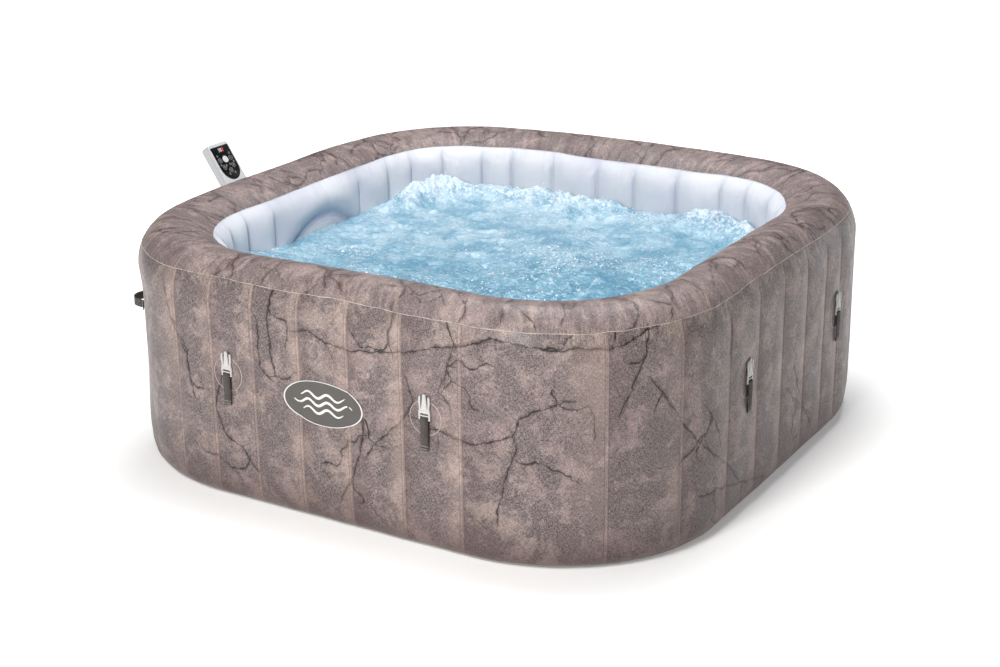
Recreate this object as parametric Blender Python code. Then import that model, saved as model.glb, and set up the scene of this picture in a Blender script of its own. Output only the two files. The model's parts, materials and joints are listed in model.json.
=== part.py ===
"""A square inflatable hot tub with its pump unit. Metres, +Z up, every piece its own object.

The origin is on the ground under the middle of the tub. Walls are numbered 0 (-Y), 1 (+X), 2 (+Y) and
3 (-X), and the pump unit stands outside wall 3. A "wall frame" has X along the wall, Y up and Z outward.
"""

import math

import bmesh
import bpy
from mathutils import Matrix, Vector

GAP = 0.0003                     # between pieces that touch
SHEET = 0.0015                   # PVC sheet

# Tub, plan: a square with large round corners, whose radius falls with the inset from the outer wall
HALF = 0.925
CORNER_RADIUS = 0.496
RADIUS_PER_INSET = 0.634
CORNER_SEGMENTS = 7

# Tub, section: inset from the outer wall against height
BASE_RADIUS = 0.050
WALL_FOOT = 2 * GAP + SHEET      # the wall and floor sheets lie on the ground sheet
SHOULDER_HEIGHT = 0.586          # widest level, where the rim's ellipse starts
CREST_INSET = 0.080
CREST_HEIGHT = 0.710
SEAM_ANGLE = math.radians(36.6)  # the weld between wall and rim, on the outer ellipse
RIM_INNER = (0.135, 0.092)       # half axes of the inner ellipse
RIM_INNER_ANGLE = math.radians(56.4)
SEAM_STEP = math.radians(0.3)
WALL_WIDTH = CREST_INSET + RIM_INNER[0]
INNER_FOOT = 0.197
BASIN_FLOOR = WALL_FOOT + SHEET  # top of the floor sheet

# Tension webs in the air chamber
WEB_PITCH = 0.159
WEBS_PER_SIDE = 6
CORNER_WEB_ANGLES = (14, 45, 76)
PUMP_WALL = 3

# Bubble duct
DUCT_INSET = 0.242
DUCT_HALF_WIDTH = 0.020
DUCT_HEIGHT = 0.028

# Badge, buckles and their straps
BADGE_SIZE = (0.266, 0.130)
BADGE_PLACE = (-0.020, 0.367)
BUCKLE_HEIGHT = 0.3875           # of the ladder bar, which is the hinge axis
BUCKLE_STANDOFF = 0.0062
BUCKLES_ALONG = ((-0.350, 0.305), (-0.270, 0.390), (-0.330, 0.330), (-0.330, 0.330))
WEBBING_WIDTH = 0.025
WEBBING = 0.0014
PATCH_RADIUS = 0.0485

# Carry handles, on the corner arcs at both ends of the pump wall
HANDLE_ANGLE = math.radians(30)
HANDLE_HEIGHT = 0.455
HANDLE_REACH = 0.038

# Through-wall fittings of the pump wall: (along, height)
COUPLING_HEIGHT = 0.280
COUPLINGS = {"inlet": 0.147, "air": 0.047, "outlet": -0.053}
DRAIN_PLACE = (0.318, 0.090)
INFLATION_PLACE = (-0.318, 0.160)
DISC_PLACE = (-0.020, 0.350)
DISC_RADIUS = 0.200

# Pump unit
PUMP_CENTRE = (-1.105, -0.047)
PUMP_HALF = (0.130, 0.165)
PUMP_CORNER = 0.050
PUMP_BASE_TOP = 0.030
CASING_TOP = 0.400
COVER_TOP = 0.457
CASING_WALL = 0.003
STALK_X = -1.035
STALK_RADIUS = 0.018
STALK_SPAN = (0.410, 0.6397)

# Control head: X across, Y up along the head, Z out of its face
HEAD_ORIGIN = (-1.000, -0.047, 0.652)
HEAD_LEAN = math.radians(33.5)
HEAD_SPAN = (-0.045, 0.146)
HEAD_HALF_WIDTH = 0.050
HEAD_FRONT = 0.010
HEAD_DEPTH = 0.038
HEAD_WALL = 0.0025
PANEL_SPAN = (0.012, 0.134)
PANEL_HALF_WIDTH = 0.0435
PANEL_ROUND = 0.045              # height of the panel's round lower end
PANEL_THICKNESS = 0.004
BUTTON_RADIUS = 0.0120
BUTTON_Y = 0.086
KEY_RADIUS = 0.0055
KEYS = ((-0.027, 0.086), (0.027, 0.086), (-0.022, 0.060), (0.022, 0.060), (0.0, 0.046))

OUTWARD = Matrix.Rotation(math.pi / 2, 4, "X")  # a wall frame's Z points out of the wall
ACROSS = Matrix(((0, 0, 1, 0), (1, 0, 0, 0), (0, 1, 0, 0), (0, 0, 0, 1)))  # extrudes (Y, Z) along X

COLOURS = {                      # colour, roughness, metallic
    "stone_print": ((0.42, 0.36, 0.33), 0.6, 0.0),
    "white_pvc": ((0.82, 0.85, 0.90), 0.45, 0.0),
    "grey_pvc": ((0.30, 0.30, 0.31), 0.6, 0.0),
    "badge": ((0.07, 0.055, 0.05), 0.4, 0.0),
    "webbing": ((0.06, 0.045, 0.04), 0.85, 0.0),
    "light_plastic": ((0.80, 0.79, 0.76), 0.4, 0.0),
    "dark_plastic": ((0.05, 0.05, 0.055), 0.45, 0.0),
    "panel_black": ((0.008, 0.008, 0.012), 0.12, 0.0),
    "key_white": ((0.85, 0.86, 0.88), 0.35, 0.0),
    "key_grey": ((0.16, 0.17, 0.19), 0.35, 0.0),
    "casing_plastic": ((0.33, 0.32, 0.32), 0.5, 0.0),
    "steel": ((0.60, 0.61, 0.63), 0.3, 1.0),
    "board_green": ((0.03, 0.18, 0.08), 0.5, 0.0),
    "filter_paper": ((0.85, 0.86, 0.88), 0.8, 0.0),
    "rubber": ((0.03, 0.03, 0.03), 0.75, 0.0),
}


# ---- Points and loops ----------------------------------------------------------------------------

def arc(centre, half_axes, start, end, segments):
    """Points of an ellipse's arc, from angle start to angle end in radians, ends included."""
    steps = [start + (end - start) * i / segments for i in range(segments + 1)]
    return [
        (centre[0] + half_axes[0] * math.cos(a), centre[1] + half_axes[1] * math.sin(a)) for a in steps
    ]


def circle(radius, segments, centre=(0, 0)):
    return arc(centre, (radius, radius), 0, 2 * math.pi, segments)[:-1]


def lobed_circle(radius, depth, lobes):
    """A circle with flats, as on a hand nut: every other point lies deeper."""
    step = math.pi / lobes
    radii = [radius - depth * (i % 2) for i in range(2 * lobes)]
    return [(r * math.cos(i * step), r * math.sin(i * step)) for i, r in enumerate(radii)]


def round_rectangle(half_x, half_y, radius, segments):
    points = []
    corners = ((1, 1), (-1, 1), (-1, -1), (1, -1))
    for quarter, (sx, sy) in enumerate(corners):
        centre = (sx * (half_x - radius), sy * (half_y - radius))
        start = quarter * math.pi / 2
        points += arc(centre, (radius, radius), start, start + math.pi / 2, segments)
    return points


def chamber_side(points, distance):
    """The line moved to its right by distance, which is towards the air chamber on every tub section."""
    moved = []
    for i, (x, z) in enumerate(points):
        before, after = points[max(i - 1, 0)], points[min(i + 1, len(points) - 1)]
        along = Vector((after[0] - before[0], after[1] - before[1])).normalized()
        moved.append((x + along.y * distance, z - along.x * distance))
    return moved


def sheet_section(points, thickness=SHEET):
    """The closed section of a sheet whose outer side is this line."""
    return points + chamber_side(points, thickness)[::-1]


def at_height(points, z):
    return [Vector((x, y, z)) for x, y in points]


def tub_loop(inset, z):
    half = HALF - inset
    radius = CORNER_RADIUS - RADIUS_PER_INSET * inset
    return at_height(round_rectangle(half, half, radius, CORNER_SEGMENTS), z)


def pump_loop(inset, z):
    half_x, half_y = PUMP_HALF
    points = round_rectangle(half_x - inset, half_y - inset, PUMP_CORNER - inset, 4)
    return at_height(points, z)


# ---- Frames --------------------------------------------------------------------------------------

def wall_frame(wall, along, height):
    """A frame on the outer wall's flat: X along, Y up, Z outward."""
    turn = Matrix.Rotation(wall * math.pi / 2, 4, "Z")
    return turn @ Matrix.Translation((along, -HALF, height)) @ OUTWARD


def corner_frame(wall, side, angle, height):
    """The same on a corner arc at an angle from the wall; side is +1 or -1 along X."""
    middle = HALF - CORNER_RADIUS
    x = side * (middle + CORNER_RADIUS * math.sin(angle))
    y = -middle - CORNER_RADIUS * math.cos(angle)
    turn = Matrix.Rotation(wall * math.pi / 2, 4, "Z")
    return turn @ Matrix.Translation((x, y, height)) @ Matrix.Rotation(side * angle, 4, "Z") @ OUTWARD


def head_frame():
    up = Vector((-math.sin(HEAD_LEAN), 0, math.cos(HEAD_LEAN)))
    out = Vector((math.cos(HEAD_LEAN), 0, math.sin(HEAD_LEAN)))
    rows = zip(up.cross(out), up, out, Vector(HEAD_ORIGIN))
    return Matrix([*rows, (0, 0, 0, 1)])


# ---- Meshes --------------------------------------------------------------------------------------

def add_loft(mesh, loops, closed=False, matrix=None):
    """Joins loops of equally many points with quads. A closed loft ends on its first loop, others are capped."""
    matrix = matrix or Matrix()
    rings = [[mesh.verts.new(matrix @ point) for point in loop] for loop in loops]
    count = len(rings[0])
    pairs = list(zip(rings, rings[1:]))
    if closed:
        pairs.append((rings[-1], rings[0]))
    for low, high in pairs:
        for i in range(count):
            j = (i + 1) % count
            mesh.faces.new((low[i], low[j], high[j], high[i]))
    if not closed:
        mesh.faces.new(rings[0][::-1])
        mesh.faces.new(rings[-1])


def add_prism(mesh, outline, low, high, matrix=None):
    add_loft(mesh, [at_height(outline, low), at_height(outline, high)], matrix=matrix)


def add_box(mesh, low, high, matrix=None):
    outline = [(low[0], low[1]), (high[0], low[1]), (high[0], high[1]), (low[0], high[1])]
    add_prism(mesh, outline, low[2], high[2], matrix)


def add_turned(mesh, section, segments=12, closed=False, matrix=None):
    """A turned shape about Z, from a section of (radius, height)."""
    loops = [at_height(circle(r, segments), z) for r, z in section]
    add_loft(mesh, loops, closed, matrix)


def material(name):
    if name in bpy.data.materials:
        return bpy.data.materials[name]
    colour, roughness, metallic = COLOURS[name]
    made = bpy.data.materials.new(name)
    made.use_nodes = True
    shader = made.node_tree.nodes["Principled BSDF"]
    shader.inputs["Base Color"].default_value = (*colour, 1)
    shader.inputs["Roughness"].default_value = roughness
    shader.inputs["Metallic"].default_value = metallic
    return made


def place(name, data, frame, parent=None):
    made = bpy.data.objects.new(name, data)
    bpy.context.scene.collection.objects.link(made)
    made.parent = parent
    made.matrix_basis = frame
    return made


def to_object(mesh, name, material_name, frame=None, parent=None):
    """The object of a bmesh, with its faces outward and round faces smooth."""
    bmesh.ops.recalc_face_normals(mesh, faces=mesh.faces)
    data = bpy.data.meshes.new(name)
    mesh.to_mesh(data)
    mesh.free()
    data.shade_smooth()
    data.set_sharp_from_angle(angle=math.radians(35))
    data.materials.append(material(material_name))
    return place(name, data, frame or Matrix(), parent)


def helper(mesh, name, frame=None, parent=None):
    """An object that only cuts or joins others."""
    made = to_object(mesh, name, "rubber", frame, parent)
    made.hide_render = True
    made.display_type = "WIRE"
    return made


def combine(made, other, operation):
    modifier = made.modifiers.new(f"{operation.lower()} {other.name}", "BOOLEAN")
    modifier.operation = operation
    modifier.object = other
    modifier.solver = "EXACT"


def flat_plate(name, outlines, thickness, material_name):
    """Curve data for a plate in the XY plane, whose later outlines are its holes."""
    data = bpy.data.curves.new(name, "CURVE")
    data.dimensions = "2D"
    data.fill_mode = "BOTH"
    data.extrude = thickness / 2
    for outline in outlines:
        spline = data.splines.new("POLY")
        spline.points.add(len(outline) - 1)
        for point, (x, y) in zip(spline.points, outline):
            point.co = (x, y, 0, 1)
        spline.use_cyclic_u = True
    data.materials.append(material(material_name))
    return data


# ---- Tub -----------------------------------------------------------------------------------------

def ring_sheet(name, line, material_name, parent, thickness=SHEET):
    """A sheet that runs round the tub, from the line of its outer side."""
    mesh = bmesh.new()
    add_loft(mesh, [tub_loop(inset, z) for inset, z in sheet_section(line, thickness)], closed=True)
    return to_object(mesh, name, material_name, parent=parent)


def outer_ellipse(start, end, segments):
    centre = (CREST_INSET, SHOULDER_HEIGHT)
    half_axes = (CREST_INSET, CREST_HEIGHT - SHOULDER_HEIGHT)
    return arc(centre, half_axes, math.pi - start, math.pi - end, segments)


def inner_ellipse(start, end, segments):
    """The rim's inner side; the angle is counted from the crest."""
    centre = (CREST_INSET, CREST_HEIGHT - RIM_INNER[1])
    return arc(centre, RIM_INNER, math.pi / 2 - start, math.pi / 2 - end, segments)


def flat_sheet(name, inset, low, material_name, parent):
    mesh = bmesh.new()
    add_loft(mesh, [tub_loop(inset, low), tub_loop(inset, low + SHEET)])
    return to_object(mesh, name, material_name, parent=parent)


def make_skins(parent):
    foot_centre = (BASE_RADIUS, WALL_FOOT + BASE_RADIUS)
    wall = arc(foot_centre, (BASE_RADIUS, BASE_RADIUS), 1.5 * math.pi, math.pi, 4)
    wall += outer_ellipse(0, SEAM_ANGLE - SEAM_STEP, 3)
    rim = outer_ellipse(SEAM_ANGLE + SEAM_STEP, math.pi / 2, 4)
    rim += inner_ellipse(0, RIM_INNER_ANGLE - SEAM_STEP, 3)[1:]
    inner = inner_ellipse(RIM_INNER_ANGLE + SEAM_STEP, math.pi / 2, 2)
    inner += [(WALL_WIDTH, 0.055), (WALL_WIDTH - 0.007, 0.022), (INNER_FOOT, BASIN_FLOOR + GAP)]
    flat_sheet("base_sheet", BASE_RADIUS + 0.004, 0, "grey_pvc", parent)
    flat_sheet("floor_sheet", INNER_FOOT - 0.006, WALL_FOOT, "white_pvc", parent)
    outer_wall = ring_sheet("outer_wall", wall, "stone_print", parent)
    ring_sheet("top_rim", rim, "stone_print", parent)
    inner_wall = ring_sheet("inner_wall", inner, "white_pvc", parent)
    return outer_wall, inner_wall


def web_frames():
    """Frames on the outer wall at every web, with Z outward. Two webs of the pump wall make room for its fittings."""
    frames = []
    for wall in range(4):
        for i in range(WEBS_PER_SIDE):
            along = (i - (WEBS_PER_SIDE - 1) / 2) * WEB_PITCH
            if wall == PUMP_WALL and abs(along) < WEB_PITCH:
                continue
            frames.append(wall_frame(wall, along, 0))
        frames += [corner_frame(wall, 1, math.radians(a), 0) for a in CORNER_WEB_ANGLES]
    return frames


def make_webs(parent):
    """Upright webs between outer and inner wall, welded along one strip on the ground sheet."""
    strip = bmesh.new()
    section = [(0.055, WALL_FOOT), (0.055, WALL_FOOT + SHEET), (0.185, WALL_FOOT + SHEET), (0.185, WALL_FOOT)]
    add_loft(strip, [tub_loop(inset, z) for inset, z in section], closed=True)
    webs = to_object(strip, "chamber_webs", "white_pvc", parent=parent)
    outline = [(0.070, WALL_FOOT + GAP), (0.006, 0.055), (0.006, 0.585), (0.060, 0.668), (0.170, 0.655)]
    outline += [(0.206, 0.585), (0.206, 0.060), (0.175, WALL_FOOT + GAP)]
    plates = bmesh.new()
    for frame in web_frames():
        points = [(z, -inset) for inset, z in outline]
        add_prism(plates, points, -SHEET / 2, SHEET / 2, frame @ ACROSS)
    combine(webs, helper(plates, "web_plates", parent=parent), "UNION")


def make_duct(parent):
    centre = (DUCT_INSET, BASIN_FLOOR + 3 * GAP)
    line = arc(centre, (DUCT_HALF_WIDTH, DUCT_HEIGHT), math.pi, 0, 4)
    ring_sheet("air_duct", line, "white_pvc", parent)


def make_badge(parent):
    mesh = bmesh.new()
    outline = arc((0, 0), (BADGE_SIZE[0] / 2, BADGE_SIZE[1] / 2), 0, 2 * math.pi, 28)[:-1]
    add_prism(mesh, outline, GAP, GAP + SHEET)
    to_object(mesh, "badge_plaque", "badge", wall_frame(0, *BADGE_PLACE), parent)


def make_handle(name, side, parent):
    """A webbing loop whose sewn ends follow the corner's curve."""
    half = [(-0.076, -0.0043), (-0.052, -0.0012), (-0.041, 0.014), (-0.023, 0.031)]
    centre_line = half + [(0, HANDLE_REACH)] + [(-x, z) for x, z in half[::-1]]
    outline = sheet_section(chamber_side(centre_line, -0.0012), 0.0024)
    mesh = bmesh.new()
    add_prism(mesh, outline, -WEBBING_WIDTH / 2, WEBBING_WIDTH / 2, OUTWARD)
    frame = corner_frame(PUMP_WALL, side, HANDLE_ANGLE, HANDLE_HEIGHT)
    to_object(mesh, name, "webbing", frame, parent)


# ---- Buckles -------------------------------------------------------------------------------------

def buckle_outline():
    """The right half, from the ladder bar at the bottom to the tip, mirrored to the left."""
    right = [(0.0160, -0.0015), (0.0175, 0.0010), (0.0175, 0.0230), (0.0140, 0.0275), (0.0140, 0.0360)]
    right += [(0.0172, 0.0470), (0.0168, 0.0610), (0.0130, 0.0675), (0.0100, 0.0640), (0.0098, 0.0420)]
    right += [(0.0085, 0.0330), (0.0030, 0.0330), (0.0022, 0.0590)]
    return right + [(-x, y) for x, y in right[::-1]]


def slot(half_width, low, high):
    return [(-half_width, low), (half_width, low), (half_width, high), (-half_width, high)]


def buckle_data():
    outlines = [buckle_outline(), slot(0.0132, 0.0015, 0.0075), slot(0.0132, 0.0105, 0.0150)]
    return flat_plate("buckle", outlines, 0.004, "light_plastic")


def strap_outline():
    """Webbing in (Y, Z): up from the patch, round the ladder bar with room to turn, and down as the tail."""
    inner = 0.0030
    outer = inner + WEBBING
    loop = arc((0, 0), (outer, outer), math.pi, 0, 6)
    bore = arc((0, 0), (inner, inner), 0, math.pi, 6)
    points = [(-0.042, loop[0][0])] + [(y, z) for z, y in loop] + [(-0.0875, outer), (-0.0875, inner)]
    return points + [(y, z) for z, y in bore] + [(-0.042, bore[-1][0])]


def strap_tab_data():
    mesh = bmesh.new()
    add_prism(mesh, strap_outline(), -WEBBING_WIDTH / 2, WEBBING_WIDTH / 2, ACROSS)
    return mesh


def make_buckles(parent):
    data = buckle_data()
    places = [(wall, along) for wall, pair in enumerate(BUCKLES_ALONG) for along in pair]
    for number, (wall, along) in enumerate(places, 1):
        frame = wall_frame(wall, along, BUCKLE_HEIGHT) @ Matrix.Translation((0, 0, BUCKLE_STANDOFF))
        place(f"buckle_{number}", data, frame, parent)
        tab = to_object(strap_tab_data(), f"strap_tab_{number}", "webbing", frame, parent)
        patch = bmesh.new()
        add_prism(patch, circle(PATCH_RADIUS, 16, (0, 0.0025)), GAP - BUCKLE_STANDOFF, -0.0042)
        combine(tab, helper(patch, f"patch_{number}", frame, parent), "UNION")


# ---- Through-wall fittings -----------------------------------------------------------------------

def make_spool(name, frame, inner_end, bore, pipe, flange, parent, lip=0.020):
    """A tube through the wall with a flange outside, a threaded stub, and a flange in the basin if it gets there."""
    section = [(bore, lip), (bore + 0.006, lip), (bore + 0.006, 0.0045), (flange, 0.0045), (flange, 0.0005)]
    section += [(pipe, 0.0005)]
    if inner_end < -WALL_WIDTH:
        face = inner_end + 0.004
        section += [(pipe, face), (flange, face), (flange, inner_end)]
    else:
        section += [(pipe, inner_end)]
    section += [(bore, inner_end)]
    mesh = bmesh.new()
    add_turned(mesh, section, closed=True)
    to_object(mesh, name, "light_plastic", frame, parent)


def make_cap(name, frame, stub, parent):
    """A screw cap over a threaded stub of this radius."""
    inner = stub + 0.0005
    rings = [circle(inner, 16), circle(inner, 16), lobed_circle(stub + 0.006, 0.0015, 8)]
    rings += [lobed_circle(stub + 0.006, 0.0015, 8), circle(stub + 0.002, 16)]
    heights = (0.0206, 0.0065, 0.0065, 0.0235, 0.0250)
    mesh = bmesh.new()
    add_loft(mesh, [at_height(ring, z) for ring, z in zip(rings, heights)])
    to_object(mesh, name, "light_plastic", frame, parent)


def make_nut(name, frame, parent):
    """A hand nut whose lip holds the collar of the pump's pipe against the spool."""
    outer = lobed_circle(0.0335, 0.0018, 8)
    rings = [circle(0.0245, 16), circle(0.0245, 16), circle(0.0210, 16), circle(0.0210, 16), outer, outer]
    heights = (0.0120, 0.0300, 0.0300, 0.0335, 0.0335, 0.0120)
    mesh = bmesh.new()
    add_loft(mesh, [at_height(ring, z) for ring, z in zip(rings, heights)], closed=True)
    to_object(mesh, name, "casing_plastic", frame, parent)


def through_hole(mesh, frame, radius, low, high):
    add_prism(mesh, circle(radius, 12), low, high, frame)


def make_disc(parent):
    """The round welded disc on the basin's side, with holes for the couplings."""
    mesh = bmesh.new()
    low = -WALL_WIDTH - GAP - SHEET
    add_prism(mesh, circle(DISC_RADIUS, 28), low, low + SHEET)
    frame = wall_frame(PUMP_WALL, *DISC_PLACE)
    return to_object(mesh, "coupling_disc", "white_pvc", frame, parent)


def make_fittings(outer_wall, inner_wall, parent):
    disc = make_disc(parent)
    both, outside = bmesh.new(), bmesh.new()
    for kind, along in COUPLINGS.items():
        frame = wall_frame(PUMP_WALL, along, COUPLING_HEIGHT)
        make_spool(f"{kind}_coupling", frame, -0.2213, 0.018, 0.022, 0.033, parent)
        make_nut(f"coupling_nut_{kind}", frame, parent)
        through_hole(both, frame, 0.0225, -0.25, 0.03)
    drain = wall_frame(PUMP_WALL, *DRAIN_PLACE)
    make_spool("drain_valve", drain, -0.2195, 0.012, 0.016, 0.026, parent)
    make_cap("drain_cap", drain, 0.018, parent)
    through_hole(both, drain, 0.0165, -0.25, 0.03)
    inflation = wall_frame(PUMP_WALL, *INFLATION_PLACE)
    make_spool("inflation_valve", inflation, -0.030, 0.012, 0.016, 0.026, parent)
    make_cap("inflation_cap", inflation, 0.018, parent)
    through_hole(outside, inflation, 0.0165, -0.03, 0.03)
    both = helper(both, "wall_holes", parent=parent)
    outside = helper(outside, "inflation_hole", parent=parent)
    combine(outer_wall, both, "DIFFERENCE")
    combine(outer_wall, outside, "DIFFERENCE")
    combine(inner_wall, both, "DIFFERENCE")
    combine(disc, both, "DIFFERENCE")


def make_basin_fittings(parent):
    """The filter on the inlet, and the flat tube that takes air down to the bubble duct."""
    pleats = lobed_circle(0.050, 0.006, 12)
    bore = circle(0.020, 24)
    rings = [bore, circle(0.050, 24), circle(0.050, 24), pleats, pleats]
    rings += [circle(0.050, 24), circle(0.050, 24)]
    heights = [-0.2216, -0.2216, -0.2276, -0.2276, -0.3036, -0.3036, -0.3096]
    mesh = bmesh.new()
    add_loft(mesh, [at_height(circle(0.020, 24), -0.300)] + [at_height(r, z) for r, z in zip(rings, heights)])
    frame = wall_frame(PUMP_WALL, COUPLINGS["inlet"], COUPLING_HEIGHT)
    to_object(mesh, "filter_cartridge", "filter_paper", frame, parent)
    tube = bmesh.new()
    outer = [(-0.020, -0.2296), (0.020, -0.2296), (0.020, -0.2173), (-0.020, -0.2173)]
    inner = [(-0.018, -0.2278), (0.018, -0.2278), (0.018, -0.2191), (-0.018, -0.2191)]
    low, high = BASIN_FLOOR + DUCT_HEIGHT + 4 * GAP, COUPLING_HEIGHT - 0.0335
    loops = [at_height(inner, low), at_height(outer, low), at_height(outer, high), at_height(inner, high)]
    add_loft(tube, loops, closed=True)
    turn = Matrix.Rotation(-math.pi / 2, 4, "X")
    to_object(tube, "air_feed_tube", "white_pvc", wall_frame(PUMP_WALL, COUPLINGS["air"], 0) @ turn
              @ Matrix.Diagonal((1, -1, 1, 1)), parent)


# ---- Pump unit -----------------------------------------------------------------------------------

def unit_frame(along):
    """A frame on a pump pipe's axis, with Z away from the tub."""
    return wall_frame(PUMP_WALL, along, COUPLING_HEIGHT)


def pipe_section(radius_inside):
    """The bore and the collar of a pump pipe, ending just behind the casing's front wall."""
    return [(radius_inside, 0.0205), (0.0235, 0.0205), (0.0235, 0.0295), (0.020, 0.0295), (0.020, 0.070)]


def make_turbine(name, along, housing, motor, parent):
    """A pipe, a round housing with room for the wheel, and the motor behind it with a bore for the shaft."""
    cavity = housing - 0.006
    section = [(0.0045, 0.150), (0.0045, 0.104), (cavity, 0.104), (cavity, 0.074), (0.016, 0.074)]
    section += pipe_section(0.016)
    section += [(housing, 0.070), (housing, 0.112), (motor, 0.112), (motor, 0.232), (motor - 0.006, 0.238)]
    mesh = bmesh.new()
    add_turned(mesh, section)
    to_object(mesh, name, "dark_plastic", unit_frame(along), parent)


def make_wheel(name, along, radius, vanes, parent):
    """A back plate with its shaft, and vanes standing on it."""
    section = [(0.010, 0.080), (0.010, 0.0985), (radius, 0.0985), (radius, 0.1025), (0.0040, 0.1025)]
    section += [(0.0040, 0.145)]
    mesh = bmesh.new()
    add_turned(mesh, section)
    wheel = to_object(mesh, name, "light_plastic", unit_frame(along), parent)
    blades = bmesh.new()
    for i in range(vanes):
        turn = Matrix.Rotation(2 * math.pi * i / vanes, 4, "Z")
        add_box(blades, (0.008, -0.001, 0.081), (radius - 0.001, 0.001, 0.100), turn)
    combine(wheel, helper(blades, f"{name}_vanes", unit_frame(along), parent), "UNION")


def make_heater(parent):
    section = [(0.016, 0.215)] + pipe_section(0.016)
    section += [(0.030, 0.078), (0.030, 0.225), (0.024, 0.231)]
    mesh = bmesh.new()
    add_turned(mesh, section)
    to_object(mesh, "water_heater", "steel", unit_frame(COUPLINGS["outlet"]), parent)


def make_transfer_hose(parent):
    """A hose under the blower, from the circulation pump to the heater."""
    start, end = COUPLINGS["inlet"], COUPLINGS["outlet"]
    tops = (COUPLING_HEIGHT - 0.0465, COUPLING_HEIGHT - 0.0305)
    low, bend = 0.190, 0.035
    route = [(start, tops[0]), *arc((start - bend, low + bend), (bend, bend), 0, -math.pi / 2, 4)]
    route += [*arc((end + bend, low + bend), (bend, bend), -math.pi / 2, -math.pi, 4), (end, tops[1])]
    data = bpy.data.curves.new("transfer_hose", "CURVE")
    data.dimensions = "3D"
    data.bevel_depth = 0.011
    data.bevel_resolution = 1
    data.use_fill_caps = True
    spline = data.splines.new("POLY")
    spline.points.add(len(route) - 1)
    for point, (along, height) in zip(spline.points, route):
        point.co = (along, height - COUPLING_HEIGHT, 0.091, 1)
    data.materials.append(material("rubber"))
    place("transfer_hose", data, unit_frame(0), parent)


def make_pump_base(parent):
    """A tray on four feet, with a post under each unit."""
    tray = bmesh.new()
    add_loft(tray, [pump_loop(0.016, 0.010), pump_loop(0.008, 0.016), pump_loop(0.008, PUMP_BASE_TOP)])
    base = to_object(tray, "pump_base", "casing_plastic", parent=parent)
    extras = bmesh.new()
    for sx in (-1, 1):
        for sy in (-1, 1):
            foot = Matrix.Translation((sx * 0.080, sy * 0.115, 0))
            add_turned(extras, [(0.016, 0), (0.018, 0.012)], 12, matrix=foot)
    for (kind, along), radius in zip(COUPLINGS.items(), (0.034, 0.030, 0.030)):
        y = -along - PUMP_CENTRE[1]
        x = -HALF - 0.180 - PUMP_CENTRE[0]
        top = COUPLING_HEIGHT - radius - GAP
        add_box(extras, (x - 0.010, y - 0.015, PUMP_BASE_TOP - 0.002), (x + 0.010, y + 0.015, top))
    combine(base, helper(extras, "base_extras", parent=parent), "UNION")


def make_casing(parent):
    """The open-ended shell round the units, with holes for the pipes and the cord, and slots at the back."""
    line = [(0.010, PUMP_BASE_TOP + GAP), (0, 0.100), (0, 0.320), (0.008, CASING_TOP)]
    mesh = bmesh.new()
    inside = [(inset + CASING_WALL, z) for inset, z in line[::-1]]
    add_loft(mesh, [pump_loop(inset, z) for inset, z in line + inside], closed=True)
    casing = to_object(mesh, "pump_casing", "casing_plastic", parent=parent)
    to_world = Matrix.Translation((*PUMP_CENTRE, 0)).inverted()
    holes = bmesh.new()
    for along in COUPLINGS.values():
        through_hole(holes, to_world @ unit_frame(along), 0.0205, 0.040, 0.060)
    for i in range(5):
        z = 0.150 + 0.020 * i
        add_box(holes, (-0.150, -0.060, z), (-0.115, 0.060, z + 0.008))
    through_hole(holes, gland_frame(), 0.0105, -0.02, 0.02)
    combine(casing, helper(holes, "casing_holes", parent=parent), "DIFFERENCE")


def make_top_cover(parent):
    """A domed lid with the guide sleeve of the stalk."""
    outer = [(0.008, CASING_TOP + GAP), (0.010, 0.430), (0.022, 0.448), (0.045, COVER_TOP)]
    inner = [(inset + CASING_WALL, z - CASING_WALL) for inset, z in outer[:0:-1]]
    inner.append((outer[0][0] + CASING_WALL, outer[0][1]))
    mesh = bmesh.new()
    add_loft(mesh, [pump_loop(inset, z) for inset, z in inner + outer])
    cover = to_object(mesh, "pump_top_cover", "casing_plastic", parent=parent)
    axis = Matrix.Translation((STALK_X - PUMP_CENTRE[0], 0, 0))
    sleeve = bmesh.new()
    add_prism(sleeve, circle(STALK_RADIUS + 0.0045, 16), 0.405, COVER_TOP + 0.004, axis)
    combine(cover, helper(sleeve, "stalk_sleeve", parent=parent), "UNION")
    bore = bmesh.new()
    add_prism(bore, circle(STALK_RADIUS + 0.0005, 16), 0.39, 0.47, axis)
    combine(cover, helper(bore, "stalk_bore", parent=parent), "DIFFERENCE")


def gland_frame():
    """In the pump's frame, on its +Y side, with Z outward."""
    return Matrix.Translation((-0.045, PUMP_HALF[1], 0.110)) @ Matrix.Rotation(-math.pi / 2, 4, "X")


def make_cord_inlet(parent):
    section = [(0.005, -0.012), (0.014, -0.012), (0.014, -0.0040), (0.010, -0.0040), (0.010, 0.0005)]
    section += [(0.016, 0.0005), (0.016, 0.0045), (0.011, 0.010), (0.009, 0.018), (0.005, 0.018)]
    mesh = bmesh.new()
    add_turned(mesh, section, 12, closed=True)
    to_object(mesh, "cord_inlet", "rubber", gland_frame(), parent)


def make_control_board(parent):
    """An upright board with three tall components."""
    board = bmesh.new()
    add_box(board, (-0.180, -0.070, 0.034), (-0.1784, 0.070, 0.134), Matrix.Translation((0.070, 0, 0)))
    made = to_object(board, "control_board", "board_green", parent=parent)
    blocks = bmesh.new()
    for y, z, height in ((-0.045, 0.060, 0.016), (0.0, 0.095, 0.012), (0.040, 0.065, 0.020)):
        low = (-0.1095, y - 0.012, z - 0.012)
        high = (-0.1095 + height, y + 0.012, z + 0.012)
        add_box(blocks, low, high)
    combine(made, helper(blocks, "board_parts", parent=parent), "UNION")


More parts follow.
